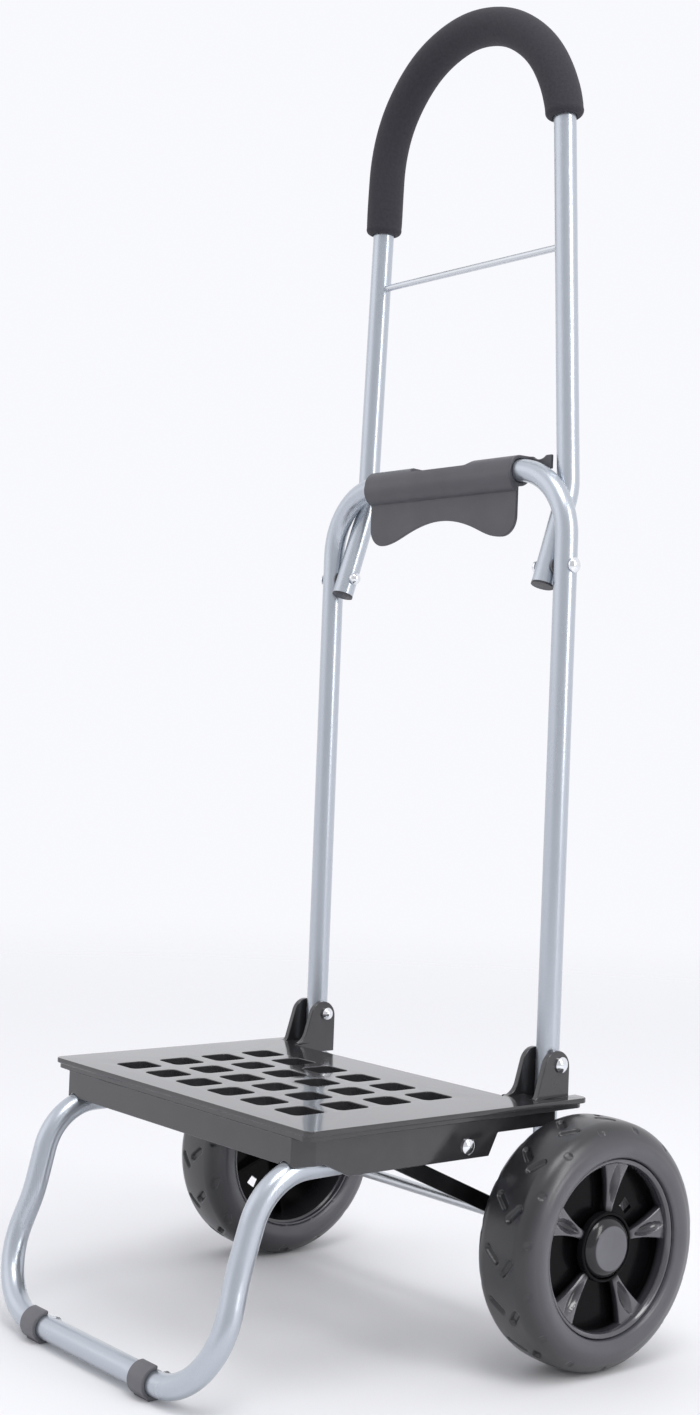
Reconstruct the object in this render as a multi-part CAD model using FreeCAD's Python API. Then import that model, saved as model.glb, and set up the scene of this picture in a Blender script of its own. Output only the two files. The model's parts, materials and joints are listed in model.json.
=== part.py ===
"""Folding two-wheeled hand trolley: silver tube frame, fold-down handle, slotted plastic deck.

Millimetres, +Z up, +X to the right, -Y to the front (the load and stand side).
The origin is on the floor, under the middle of the bounding box.
"u" is the distance behind the uprights' plane, so y = AXLE_Y + u.
"""
import FreeCAD, Part
import math
import os

# Overall layout
WHEEL_R = 82.5
TUBE_R = 8.0
TUBE_WALL = 1.2
STAND_FRONT_U = -274.0
CLIP_WALL = 2.6
AXLE_Z = WHEEL_R
AXLE_Y = (-(STAND_FRONT_U - TUBE_R - CLIP_WALL) - WHEEL_R) / 2
SIDES = {"left": -1, "right": 1}
RUNNING = 0.05
BOLT_R = 3.0
DOME_RIM = 0.35
NUT_BORE_DEPTH = 0.6
FIXED_GAP = 0.1
TURNING_GAP = 0.2

# Lower frame: an inverted U
UPRIGHT_X = 127.5
UPRIGHT_BOTTOM_Z = 74.0
CROSSBAR_Z = 602.0
CROSSBAR_BEND_R = 50.0
PLUG_FLANGE = 1.5
PLUG_STEM = 3.0
EASE = 0.02

# Handle
PIVOT_Z = 533.0
LEG_PIVOT_X = 110.0
LEG_BEND_X = 110.0
LEG_BEND_Z = 588.0
LEG_BEND_U = 17.6
LEG_BEND_R = 45.0
LEG_TOP_X = 98.0
LEG_TOP_U = 14.4
LEG_TOP_Z = 830.0
LEG_TAIL = 13.0
ARCH_TOP_Z = 937.0
GRIP_R = 13.7
GRIP_END_R = 4.0
GRIP_LEFT_Z = 802.0
GRIP_RIGHT_Z = 851.0
ROD_Z = 760.0
ROD_R = 2.5
ROD_SHORTER = 1.0
HANDLE_HEAD_R = 5.2
HANDLE_HEAD = 3.8
HANDLE_BOLT_TAIL = 3.0
HANDLE_NUT_R = 4.6
HANDLE_NUT = 5.0
HANDLE_NUT_GAP = 0.4
HANDLE_SPACER_R = 5.5
HANDLE_SPACER = 1.0

# Handle lock on the crossbar
LOCK_HALF = 80.0
LOCK_R = 11.0
LOCK_BORE_R = TUBE_R + RUNNING
LOCK_END_EASE = 0.4
LOCK_FLAP_DROP = 46.0
LOCK_FLAP_MID_DROP = 31.0
LOCK_FLAP_U = -3.6
LOCK_WALL = 2.5
LOCK_LOBE_X = 66.0
LOCK_LOBE_R = 14.0
LOCK_WAVE_X = 36.0
LOCK_WAVE_DROP = 38.0
LOCK_CHIN_R = 13.0
LOCK_CHIN_U = 1.5
LOCK_CHIN_DROP = 3.0
LOCK_NOTCH_HALF = 34.0
LOCK_NOTCH_FRONT_U = -8.0
LOCK_NOTCH_CORNER_R = 6.0
LOCK_WING_ROOT = 38.0
LOCK_WING_X = 100.2
LOCK_WING_U = 9.6
LOCK_WING_LOW = 1.0
LOCK_DIP_X = 88.0
LOCK_DIP_R = 10.0
LOCK_DIP = 2.5
MARGIN = 1.0

# Axle line
AXLE_R = 4.0
AXLE_HALF = 186.0
WHEEL_IN_X = 144.2
WHEEL_OUT_X = 197.0
COLLAR_R = 7.0
PUSH_NUT_GAP = 0.3
PUSH_NUT = 1.2
WASHER_R = 6.5
AXLE_CLIP = 1.8

# Platform
HINGE_Z = 194.4
DECK_TOP_Z = 172.3
DECK_HALF = 149.8
DECK_FRONT_U = -221.3
DECK_REAR_U = 19.0
DECK_MID_REAR_U = -29.0
DECK_LIP = 3.5
DECK_LIP_STEP = 2.5
DECK_LIP_FRONT_STEP = 1.0
DECK_CORNER_R = 6.0
HOLE_COLUMNS = 6
HOLE_ROWS = 4
HOLE_PITCH_X = 37.3
HOLE_PITCH_Y = 36.3
HOLE_FIRST_U = -185.5
HOLE_SIZE = 25.0
HOLE_DEPTH = 20.0
HOLE_CORNER_R = 4.5
SKIRT_HALF = 139.0
SKIRT_WALL = 2.8
SKIRT_FRONT_U = -219.8
SKIRT_REAR_U = -2.0
SKIRT_SLOPE_U = (-200.0, -180.7)
SKIRT_SLOPE_RISE = 1.5
SKIRT_STEP_U = (-62.4, -54.7)
SKIRT_CHAMFER_X = 8.0
SKIRT_CHAMFER_U = 12.8
SKIRT_FRONT_Z = 147.0
SKIRT_MID_Z = 139.3
SKIRT_REAR_Z = 154.0
RIB_BOTTOM_Z = 158.0
RIB_WALL = 2.0
REAR_WALL_Z = 152.0
EAR_OUT = (136.2, 140.5)
EAR_IN = (115.2, 119.2)
EAR_R = 11.6
EAR_U = -3.2
EAR_Z = HINGE_Z - 2.0
EAR_LEAN_DEG = 17.0
EAR_FOOT_R = {EAR_OUT: 4.0, EAR_IN: 12.0}
NOTCH_U = -12.0
HINGE_HEAD_R = 5.4
HINGE_HEAD = 3.6
BOLT_TAIL = 2.5
HINGE_NUT_R = 4.8
HINGE_NUT = 4.6
STAND_HEAD = 3.4
STAND_NUT = 4.2
STAND_SPACER_R = 6.0
STAND_RELIEF = 0.6

# Stand
STAND_X = 124.5
STAND_PIVOT_U = -81.3
STAND_PIVOT_Z = 147.6
STAND_TAIL = 12.0
STAND_TOP_U = -233.4
STAND_TOP_Z = 144.0
STAND_KNEE_X = 122.0
STAND_KNEE_U = -250.0
STAND_KNEE_Z = 84.0
STAND_FOOT_X = 134.0
STAND_FOOT_Z = TUBE_R + CLIP_WALL
STAND_TOP_BEND_R = 42.0
STAND_KNEE_BEND_R = 100.0
STAND_FOOT_BEND_R = 50.0
CLIP_X = 66.0
CLIP_WIDTH = 17.0
CLIP_RIVET_STEP = 14.5
CLIP_SOLE_HALF = 5.0
CLIP_MOUTH = 16.0
CLIP_MOUTH_EDGE = 2.0
CLIP_RIVET_TILT_DEG = 35.0
CLIP_RIVET_R = 4.6
CLIP_RIVET_RISE = 1.6

# Link bars between the axle and the stand
LINK_X = (112.2, 116.2)
LINK_EYE_R = 8.0
LINK_UPPER_EYE_R = 7.0
RIVET_HEAD_R = 5.0
RIVET_HEAD = 1.8
LINK_HALF_WIDTH = 5.5
LINK_END_U = -140.0
LINK_END_Z = STAND_PIVOT_Z - (STAND_PIVOT_Z - STAND_TOP_Z) * (
    (LINK_END_U - STAND_PIVOT_U) / (STAND_TOP_U - STAND_PIVOT_U))

# Wheel
TYRE_SEAT_R = 59.0
TYRE_SEAT_INSET = 2.2
TYRE_WALL_R = 65.5
TYRE_WALL_TOP = (1.2, 71.5)
TYRE_SHOULDER = (6.4, 79.0)
TYRE_TREAD_EDGE = (14.5, 81.9)
RIM_LIP_R = 54.0
RIM_BARREL_R = 55.2
RIM_IN_X = WHEEL_IN_X + 3.0
RIM_FACE_X = WHEEL_OUT_X - 3.4
HUB_RING_R = 22.8
HUB_RING_WALL = 2.2
HUB_BARREL_R = 12.5
BUSH_R = 7.0
SPOKES = 5
SPOKE_TURN_DEG = 8.2
SPOKE_FRONT_X = 188.5
SPOKE_DEPTH = 6.0
SPOKE_HALF_WIDTHS = (3.6, 6.4, 12.5)
WINDOW_HUB_GAP = 0.4
DIMPLE_SIZE = (3.0, 4.2, 10.0)
DIMPLE_R = 41.0
DIMPLE_LIFT = 1.0
BACK_WEB_X = (176.0, 179.0)
BACK_OPENING_R = (31.0, 38.0)
BACK_OPENING_HALF = 4.5
BACK_OPENING_TURN_DEG = 50.2
LEFT_WHEEL_TURN_DEG = 164.0
HUB_FACE_X = 184.0
HUB_DISC_DEPTH = 8.0
CAP_FACE_X = 191.5
CAP_FACE_R = 15.0
CAP_BORE_R = 9.5
CAP_WALL = 3.0
CAP_EDGE = 1.4
CAP_SHOULDER = 1.2

X_AXIS = FreeCAD.Vector(1, 0, 0)
Y_AXIS = FreeCAD.Vector(0, 1, 0)
Z_AXIS = FreeCAD.Vector(0, 0, 1)


def at(x, u, z):
    """Point at x, u behind the uprights, z above the floor."""
    return FreeCAD.Vector(x, AXLE_Y + u, z)


def rounded_path(points, radii):
    """Wire through the points, with a tangent arc of the given radius at each inner point."""
    edges = []
    start = points[0]
    for before, corner, after, radius in zip(points, points[1:], points[2:], radii):
        back = (before - corner).normalize()
        on = (after - corner).normalize()
        half_angle = back.getAngle(on) / 2
        reach = radius / math.tan(half_angle)
        middle = (back + on).normalize()
        centre = corner + middle * (radius / math.sin(half_angle))
        arc_start = corner + back * reach
        arc_end = corner + on * reach
        edges.append(Part.LineSegment(start, arc_start).toShape())
        edges.append(Part.Arc(arc_start, centre - middle * radius, arc_end).toShape())
        start = arc_end
    edges.append(Part.LineSegment(start, points[-1]).toShape())
    return Part.Wire(edges)


def sweep(path, radius):
    """Solid rod of one radius along a path."""
    first = path.OrderedEdges[0]
    start = first.valueAt(first.FirstParameter)
    tangent = first.tangentAt(first.FirstParameter)
    ring = Part.Wire([Part.makeCircle(radius, start, tangent)])
    return path.makePipeShell([ring], True, False)


def bent_tube(path):
    """Hollow frame tube along a path."""
    return sweep(path, TUBE_R).cut(sweep(path, TUBE_R - TUBE_WALL))


def rod(x0, x1, u, z, radius):
    """Round bar along X between two x values."""
    low = min(x0, x1)
    return Part.makeCylinder(radius, abs(x1 - x0), at(low, u, z), X_AXIS)


def sleeve(x0, x1, u, z, outer_r, inner_r):
    """Round bar along X with a bore."""
    return rod(x0, x1, u, z, outer_r).cut(rod(x0, x1, u, z, inner_r))


def block(x0, x1, u0, u1, z0, z1):
    """Box between two corners."""
    size = (abs(x1 - x0), abs(u1 - u0), abs(z1 - z0))
    return Part.makeBox(*size, at(min(x0, x1), min(u0, u1), min(z0, z1)))


def domed(x_base, x_top, u, z, radius, underside):
    """Domed round piece along X, turned from its outline.

    underside is the (x, r) outline below the head, from the axis out to the head's rim.
    """
    way = 1 if x_top > x_base else -1
    rim_x = x_base + (x_top - x_base) * DOME_RIM
    crown = abs(x_top - rim_x)
    ball_r = (radius ** 2 + crown ** 2) / (2 * crown)
    half_angle = math.asin(radius / ball_r) / 2
    arc_mid = (x_top - way * ball_r * (1 - math.cos(half_angle)), ball_r * math.sin(half_angle))

    def p(point):
        return at(point[0], u, z + point[1])

    outline = underside + [(x_base, radius), (rim_x, radius)]
    edges = [Part.LineSegment(p(a), p(b)).toShape() for a, b in zip(outline, outline[1:])]
    edges.append(Part.Arc(p(outline[-1]), p(arc_mid), p((x_top, 0))).toShape())
    edges.append(Part.LineSegment(p((x_top, 0)), p(outline[0])).toShape())
    return Part.Face(Part.Wire(edges)).revolve(at(0, u, z), X_AXIS, 360)


def bolt(x_head, x_end, side, u, z, head_r, head_height):
    """Dome-headed bolt along X, its head's underside at x_head and its plain end at x_end."""
    shank = [(side * x_end, 0), (side * x_end, BOLT_R), (side * x_head, BOLT_R)]
    way = 1 if x_head > x_end else -1
    return domed(side * x_head, side * (x_head + way * head_height), u, z, head_r, shank)


def cap_nut(x_face, side, u, z, radius, height):
    """Domed nut, its face at x_face and its crown inboard, with a blind bore for the bolt."""
    bore_end = side * (x_face - height * NUT_BORE_DEPTH)
    bore = [(bore_end, 0), (bore_end, BOLT_R), (side * x_face, BOLT_R)]
    return domed(side * x_face, side * (x_face - height), u, z, radius, bore)


def prism_x(points, x0, x1):
    """Polygon in the side view, given as (u, z) pairs, extruded along X."""
    corners = [at(min(x0, x1), u, z) for u, z in points]
    face = Part.Face(Part.makePolygon(corners + corners[:1]))
    return face.extrude(X_AXIS * abs(x1 - x0))


def fused(shapes):
    """One solid from overlapping or touching shapes."""
    return shapes[0].multiFuse(shapes[1:]).removeSplitter()


def turned(profile_edges):
    """Solid turned about the axle line from a closed profile."""
    face = Part.Face(Part.Wire(profile_edges))
    return face.revolve(at(0, 0, AXLE_Z), X_AXIS, 360)


def end_plug(end, direction):
    """Tube plug: a thin flange outside the tube's end and a stem inside it."""
    flange = Part.makeCylinder(TUBE_R, PLUG_FLANGE - EASE, end + direction * EASE, direction)
    stem_r = TUBE_R - TUBE_WALL - RUNNING
    stem = Part.makeCylinder(stem_r, PLUG_STEM + EASE, end - direction * PLUG_STEM, direction)
    return flange.fuse(stem).removeSplitter()


# ---------------------------------------------------------------- lower frame
def lower_frame_tube():
    """Inverted U tube with holes for the axle, the deck hinge bolts and the handle bolts."""
    path = rounded_path(
        [at(-UPRIGHT_X, 0, UPRIGHT_BOTTOM_Z), at(-UPRIGHT_X, 0, CROSSBAR_Z),
         at(UPRIGHT_X, 0, CROSSBAR_Z), at(UPRIGHT_X, 0, UPRIGHT_BOTTOM_Z)],
        [CROSSBAR_BEND_R, CROSSBAR_BEND_R])
    tube = bent_tube(path)
    reach = UPRIGHT_X + 2 * TUBE_R
    inboard = UPRIGHT_X - 2 * TUBE_R
    for side in SIDES.values():
        tube = tube.cut(rod(side * inboard, side * reach, 0, AXLE_Z, AXLE_R))
        tube = tube.cut(rod(side * inboard, side * reach, 0, HINGE_Z, BOLT_R + RUNNING))
        tube = tube.cut(rod(side * inboard, side * reach, 0, PIVOT_Z, BOLT_R))
    return tube


def frame_parts():
    """Everything fixed to the lower frame."""
    parts = {"lower_frame_tube": lower_frame_tube(),
             "axle": rod(-AXLE_HALF, AXLE_HALF, 0, AXLE_Z, AXLE_R)}
    upright_out = UPRIGHT_X + TUBE_R
    upright_in = UPRIGHT_X - TUBE_R
    leg_in = LEG_PIVOT_X - TUBE_R
    for name, side in SIDES.items():
        parts["upright_plug_" + name] = end_plug(at(side * UPRIGHT_X, 0, UPRIGHT_BOTTOM_Z), -Z_AXIS)
        parts["wheel_spacer_" + name] = sleeve(
            side * (upright_out + FIXED_GAP), side * (WHEEL_IN_X - TURNING_GAP), 0, AXLE_Z,
            COLLAR_R, AXLE_R)
        push_nut_x = HUB_FACE_X + PUSH_NUT_GAP
        parts["push_nut_" + name] = sleeve(
            side * push_nut_x, side * (push_nut_x + PUSH_NUT), 0, AXLE_Z, COLLAR_R, AXLE_R)
        parts["link_washer_" + name] = sleeve(
            side * (LINK_X[1] + TURNING_GAP), side * (upright_in - FIXED_GAP), 0, AXLE_Z,
            WASHER_R, AXLE_R)
        clip_x = LINK_X[0] - TURNING_GAP
        parts["axle_clip_" + name] = sleeve(
            side * (clip_x - AXLE_CLIP), side * clip_x, 0, AXLE_Z, WASHER_R, AXLE_R)
        parts["handle_bolt_" + name] = bolt(
            upright_out, leg_in - HANDLE_BOLT_TAIL, side, 0, PIVOT_Z, HANDLE_HEAD_R, HANDLE_HEAD)
        parts["handle_nut_" + name] = cap_nut(
            leg_in - HANDLE_NUT_GAP, side, 0, PIVOT_Z, HANDLE_NUT_R, HANDLE_NUT)
        spacer_x = upright_in - RUNNING
        parts["handle_spacer_" + name] = sleeve(
            side * (spacer_x - HANDLE_SPACER), side * spacer_x, 0, PIVOT_Z, HANDLE_SPACER_R, BOLT_R)
    return parts


# ---------------------------------------------------------------- handle
def leg_slope():
    """Sideways taper of the upper legs, as an angle from the vertical."""
    return math.atan2(LEG_BEND_X - LEG_TOP_X, LEG_TOP_Z - LEG_BEND_Z)


def arch_circle():
    """Centre height and radius of the arch that runs on from both tapering legs."""
    slope = leg_slope()
    # |x| of the leg's line at height z is LEG_TOP_X - (z - LEG_TOP_Z) * tan(slope).
    line_at_zero = LEG_TOP_X + LEG_TOP_Z * math.tan(slope)
    centre_z = (ARCH_TOP_Z - line_at_zero * math.cos(slope)) / (1 - math.sin(slope))
    return centre_z, ARCH_TOP_Z - centre_z


def leg_x(z):
    """|x| of the upper leg's centre line at a height."""
    return LEG_TOP_X - (z - LEG_TOP_Z) * math.tan(leg_slope())


def handle_point(x, z):
    """Point of the handle's upper part, which leans slightly forward as it rises."""
    lean = (LEG_TOP_U - LEG_BEND_U) / (LEG_TOP_Z - LEG_BEND_Z)
    return at(x, LEG_BEND_U + lean * (z - LEG_BEND_Z), z)


def rod_u():
    """Distance of the cross rod behind the uprights."""
    return handle_point(0, ROD_Z).y - AXLE_Y


def leg_direction():
    """Unit vector up the leaning lower end of the right leg."""
    return (handle_point(LEG_BEND_X, LEG_BEND_Z) - at(LEG_PIVOT_X, 0, PIVOT_Z)).normalize()


def leg_end(side):
    """Lower end of a handle leg and the direction that it points in."""
    up = leg_direction()
    way = FreeCAD.Vector(-side * up.x, -up.y, -up.z)
    return at(side * LEG_PIVOT_X, 0, PIVOT_Z) + way * LEG_TAIL, way


def arch_tangent(side):
    """Point where a leg runs into the arch."""
    centre_z, radius = arch_circle()
    slope = leg_slope()
    return handle_point(side * radius * math.cos(slope), centre_z + radius * math.sin(slope))


def leg_edges(side):
    """Edges of one leg from its lower end up to the arch."""
    lower, _ = leg_end(side)
    corner = handle_point(side * LEG_BEND_X, LEG_BEND_Z)
    return rounded_path([lower, corner, arch_tangent(side)], [LEG_BEND_R]).OrderedEdges


def handle_path():
    """Whole centre line: left leg, arch, right leg."""
    arch = Part.Arc(arch_tangent(-1), handle_point(0, ARCH_TOP_Z), arch_tangent(1)).toShape()
    return Part.Wire(Part.sortEdges(leg_edges(-1) + [arch] + leg_edges(1))[0])


def grip_path():
    """Centre line of the foam sleeve, lower on the left leg than on the right."""
    left = handle_point(-leg_x(GRIP_LEFT_Z), GRIP_LEFT_Z)
    centre_z, radius = arch_circle()
    rise = math.asin((GRIP_RIGHT_Z - centre_z) / radius)
    right = handle_point(radius * math.cos(rise), GRIP_RIGHT_Z)
    leg = Part.LineSegment(left, arch_tangent(-1)).toShape()
    arch = Part.Arc(arch_tangent(-1), handle_point(0, ARCH_TOP_Z), right).toShape()
    return Part.Wire([leg, arch])


def handle_tube():
    """Arched handle tube with holes for its pivot bolts and its cross rod."""
    tube = bent_tube(handle_path())
    reach = LEG_PIVOT_X + 2 * TUBE_R
    tube = tube.cut(rod(-reach, reach, 0, PIVOT_Z, BOLT_R + RUNNING))
    rod_end = leg_x(ROD_Z)
    return tube.cut(rod(-rod_end, rod_end, rod_u(), ROD_Z, ROD_R))


def foam_grip():
    """Foam sleeve over the arch, with rounded ends."""
    path = grip_path()
    sleeve_solid = sweep(path, GRIP_R)
    ends = [edge for edge in sleeve_solid.Edges
            if abs(edge.Length - 2 * math.pi * GRIP_R) < 0.5 and is_sleeve_end(edge, path)]
    sleeve_solid = sleeve_solid.makeFillet(GRIP_END_R, ends)
    return sleeve_solid.cut(sweep(path, TUBE_R + EASE))


def is_sleeve_end(edge, path):
    """True for the edge of a sleeve's end face."""
    ends = (path.OrderedVertexes[0].Point, path.OrderedVertexes[-1].Point)
    return any((edge.CenterOfMass - end).Length < 1.0 for end in ends)


def handle_parts():
    """Everything that folds down with the handle."""
    rod_end = leg_x(ROD_Z) - ROD_SHORTER
    parts = {"handle_tube": handle_tube(),
             "foam_grip": foam_grip(),
             "handle_cross_rod": rod(-rod_end, rod_end, rod_u(), ROD_Z, ROD_R)}
    for name, side in SIDES.items():
        parts["handle_plug_" + name] = end_plug(*leg_end(side))
    return parts


# ---------------------------------------------------------------- handle lock
def lock_flap():
    """Hanging flap with a round lobe at each side and a hollow in the middle."""
    low = CROSSBAR_Z - LOCK_FLAP_DROP
    mid = CROSSBAR_Z - LOCK_FLAP_MID_DROP
    top = CROSSBAR_Z - LOCK_BORE_R
    u = LOCK_FLAP_U

    def p(x, z):
        return at(x, u, z)

    edges = [Part.LineSegment(p(-LOCK_HALF, top), p(LOCK_HALF, top)).toShape()]
    lobe_top = low + LOCK_LOBE_R
    wave_z = CROSSBAR_Z - LOCK_WAVE_DROP
    for side in (1, -1):
        down = [p(side * LOCK_HALF, top), p(side * LOCK_HALF, lobe_top), p(side * LOCK_LOBE_X, low)]
        edges.append(Part.LineSegment(down[0], down[1]).toShape())
        diagonal = LOCK_LOBE_R * (1 - math.sqrt(0.5))
        corner = p(side * (LOCK_HALF - diagonal), low + diagonal)
        edges.append(Part.Arc(down[1], corner, down[2]).toShape())
    wave = Part.BSplineCurve()
    wave.interpolate(
        Points=[p(LOCK_LOBE_X, low), p(LOCK_WAVE_X, wave_z), p(0, mid),
                p(-LOCK_WAVE_X, wave_z), p(-LOCK_LOBE_X, low)],
        InitialTangent=FreeCAD.Vector(-1, 0, 0), FinalTangent=FreeCAD.Vector(-1, 0, 0))
    edges.append(wave.toShape())
    outline = Part.Wire(Part.sortEdges(edges)[0])
    return Part.Face(outline).extrude(FreeCAD.Vector(0, LOCK_WALL, 0))


def lock_chin():
    """Full front of the saddle, which bulges forward and tucks in under itself to the flap."""
    z = CROSSBAR_Z - LOCK_CHIN_DROP
    bulge = rod(-LOCK_HALF, LOCK_HALF, LOCK_CHIN_U, z, LOCK_CHIN_R)
    reach = LOCK_HALF + MARGIN
    size = LOCK_CHIN_R + MARGIN
    behind = block(-reach, reach, LOCK_FLAP_U + LOCK_WALL, LOCK_CHIN_U + size, z - size, z + size)
    return bulge.cut(behind)


def lock_wing(side):
    """Rear arm that reaches out behind the crossbar's bend to the handle's leg."""
    low = CROSSBAR_Z + LOCK_WING_LOW
    top = CROSSBAR_Z + LOCK_R
    back_u = LOCK_WING_U + LOCK_WALL
    arm = block(side * LOCK_WING_ROOT, side * LOCK_WING_X, LOCK_WING_U, back_u, low, top)
    dip_start = at(side * LOCK_DIP_X, LOCK_WING_U - LOCK_WALL, top + LOCK_DIP_R - LOCK_DIP)
    dip = Part.makeCylinder(LOCK_DIP_R, 4 * LOCK_WALL, dip_start, Y_AXIS)
    web = block(side * LOCK_WING_ROOT, side * LOCK_HALF, 0, back_u, top - LOCK_WALL, top)
    return arm.cut(dip).fuse(web)


def lock_scallop():
    """Cutter for the broad hollow in the top of the saddle, which opens to the rear."""
    back_u = LOCK_R + LOCK_WING_U + LOCK_WALL
    return rounded_plate(LOCK_NOTCH_HALF, LOCK_NOTCH_FRONT_U, back_u, CROSSBAR_Z + LOCK_WING_LOW,
                         CROSSBAR_Z + 2 * LOCK_R, LOCK_NOTCH_CORNER_R)


def handle_lock():
    """Plastic saddle that rocks on the crossbar: roll, flap and two rear arms."""
    roll = rod(-LOCK_HALF, LOCK_HALF, 0, CROSSBAR_Z, LOCK_R)
    saddle = roll.fuse(lock_chin()).cut(lock_scallop())
    body = fused([saddle, lock_flap(), lock_wing(1), lock_wing(-1)])
    body = body.cut(rod(-LOCK_WING_X, LOCK_WING_X, 0, CROSSBAR_Z, LOCK_BORE_R))
    # The bore opens out at its ends, where the crossbar starts to bend.
    bend_x = UPRIGHT_X - CROSSBAR_BEND_R - MARGIN
    for side in SIDES.values():
        body = body.cut(rod(side * bend_x, side * LOCK_WING_X, 0, CROSSBAR_Z, LOCK_BORE_R + LOCK_END_EASE))
    # The back of the roll is open below the arms.
    reach = LOCK_HALF + MARGIN
    under_z = CROSSBAR_Z - LOCK_R - MARGIN
    opening = block(-reach, reach, 0, LOCK_R + MARGIN, under_z, CROSSBAR_Z + LOCK_WING_LOW)
    flap_zone = block(-reach, reach, 0, LOCK_WALL, under_z, CROSSBAR_Z)
    return body.cut(opening.cut(flap_zone))


# ---------------------------------------------------------------- platform
def rounded_plate(half, front_u, rear_u, z0, z1, radius):
    """Rectangular plate with rounded upright corners."""
    plate = block(-half, half, front_u, rear_u, z0, z1)
    corners = [edge for edge in plate.Edges
               if abs(edge.Vertexes[0].X - edge.Vertexes[1].X) < 1e-6
               and abs(edge.Vertexes[0].Y - edge.Vertexes[1].Y) < 1e-6]
    return plate.makeFillet(radius, corners)


def skirt_ring(inset):
    """Solid under the deck bounded by the skirt's outline, moved in by an inset."""
    half = SKIRT_HALF - inset
    front = SKIRT_FRONT_U + inset
    rear = SKIRT_REAR_U + inset
    right = [(half - SKIRT_CHAMFER_X, front), (half, front + SKIRT_CHAMFER_U), (half, rear)]
    outline = right + [(-x, u) for x, u in reversed(right)]
    corners = [at(x, u, SKIRT_MID_Z - inset) for x, u in outline]
    face = Part.Face(Part.makePolygon(corners + corners[:1]))
    return face.extrude(Z_AXIS * (DECK_TOP_Z - DECK_LIP - SKIRT_MID_Z + inset))


def skirt():
    """Walls under the deck's front and sides, deepest at the stand's bolts."""
    walls = skirt_ring(0).cut(skirt_ring(SKIRT_WALL))
    inside = SKIRT_HALF - SKIRT_WALL
    walls = walls.cut(block(-inside, inside, SKIRT_REAR_U - 2 * SKIRT_WALL, 0, 0, DECK_TOP_Z))
    low = SKIRT_MID_Z - MARGIN
    front = SKIRT_FRONT_U - MARGIN
    below = prism_x([(front, low), (front, SKIRT_FRONT_Z),
                     (SKIRT_SLOPE_U[0], SKIRT_FRONT_Z + SKIRT_SLOPE_RISE),
                     (SKIRT_SLOPE_U[1], SKIRT_MID_Z), (SKIRT_SLOPE_U[1], low)],
                    -DECK_HALF, DECK_HALF)
    behind = prism_x([(SKIRT_STEP_U[0], low), (SKIRT_STEP_U[0], SKIRT_MID_Z),
                      (SKIRT_STEP_U[1], SKIRT_REAR_Z), (MARGIN, SKIRT_REAR_Z), (MARGIN, low)],
                     -DECK_HALF, DECK_HALF)
    return walls.cut(below).cut(behind)


def ear(span, side, foot_z):
    """Upright lug for the hinge bolt: round top, upright rear edge, front edge leaning to a curved foot."""
    foot_r = EAR_FOOT_R[span]
    lean = math.radians(EAR_LEAN_DEG)
    ahead = (-math.cos(lean), math.sin(lean))
    top = (EAR_U + EAR_R * ahead[0], EAR_Z + EAR_R * ahead[1])
    # The foot's arc touches the leaning edge and the deck's top.
    drop = (top[1] + foot_r * ahead[1] - DECK_TOP_Z - foot_r) / math.cos(lean)
    edge_end = (top[0] - drop * math.sin(lean), top[1] - drop * math.cos(lean))
    centre = (edge_end[0] + foot_r * ahead[0], edge_end[1] + foot_r * ahead[1])
    middle_way = FreeCAD.Vector(0, -ahead[0], -ahead[1] - 1).normalize() * foot_r
    rear_u = EAR_U + EAR_R

    def p(u, z):
        return at(side * span[0], u, z)

    foot_start = p(centre[0], DECK_TOP_Z)
    edges = [Part.Arc(foot_start, p(*centre) + middle_way, p(*edge_end)).toShape(),
             Part.LineSegment(p(*edge_end), p(*top)).toShape(),
             Part.Arc(p(*top), p(EAR_U, EAR_Z + EAR_R), p(rear_u, EAR_Z)).toShape(),
             Part.LineSegment(p(rear_u, EAR_Z), p(rear_u, foot_z)).toShape(),
             Part.LineSegment(p(rear_u, foot_z), p(centre[0], foot_z)).toShape(),
             Part.LineSegment(p(centre[0], foot_z), foot_start).toShape()]
    return Part.Face(Part.Wire(edges)).extrude(X_AXIS * (side * (span[1] - span[0])))


def deck_holes():
    """Grid of square holes with rounded corners."""
    holes = []
    for column in range(HOLE_COLUMNS):
        for row in range(HOLE_ROWS):
            x = (column - (HOLE_COLUMNS - 1) / 2) * HOLE_PITCH_X
            u = HOLE_FIRST_U + row * HOLE_PITCH_Y
            hole = rounded_plate(HOLE_SIZE / 2, u - HOLE_SIZE / 2, u + HOLE_SIZE / 2,
                                 DECK_TOP_Z - HOLE_DEPTH, DECK_TOP_Z + MARGIN, HOLE_CORNER_R)
            hole.translate(X_AXIS * x)
            holes.append(hole)
    return holes


def ribs():
    """Grid of ribs between the holes, under the deck."""
    top = DECK_TOP_Z - DECK_LIP
    inside = SKIRT_HALF - SKIRT_WALL / 2
    shapes = []
    for row in range(HOLE_ROWS + 1):
        u = HOLE_FIRST_U + (row - 0.5) * HOLE_PITCH_Y
        shapes.append(block(-inside, inside, u - RIB_WALL / 2, u + RIB_WALL / 2, RIB_BOTTOM_Z, top))
    for column in range(HOLE_COLUMNS - 1):
        x = (column + 1 - HOLE_COLUMNS / 2) * HOLE_PITCH_X
        shapes.append(block(x - RIB_WALL / 2, x + RIB_WALL / 2,
                            SKIRT_FRONT_U + MARGIN, DECK_MID_REAR_U - MARGIN, RIB_BOTTOM_Z, top))
    return shapes


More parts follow.
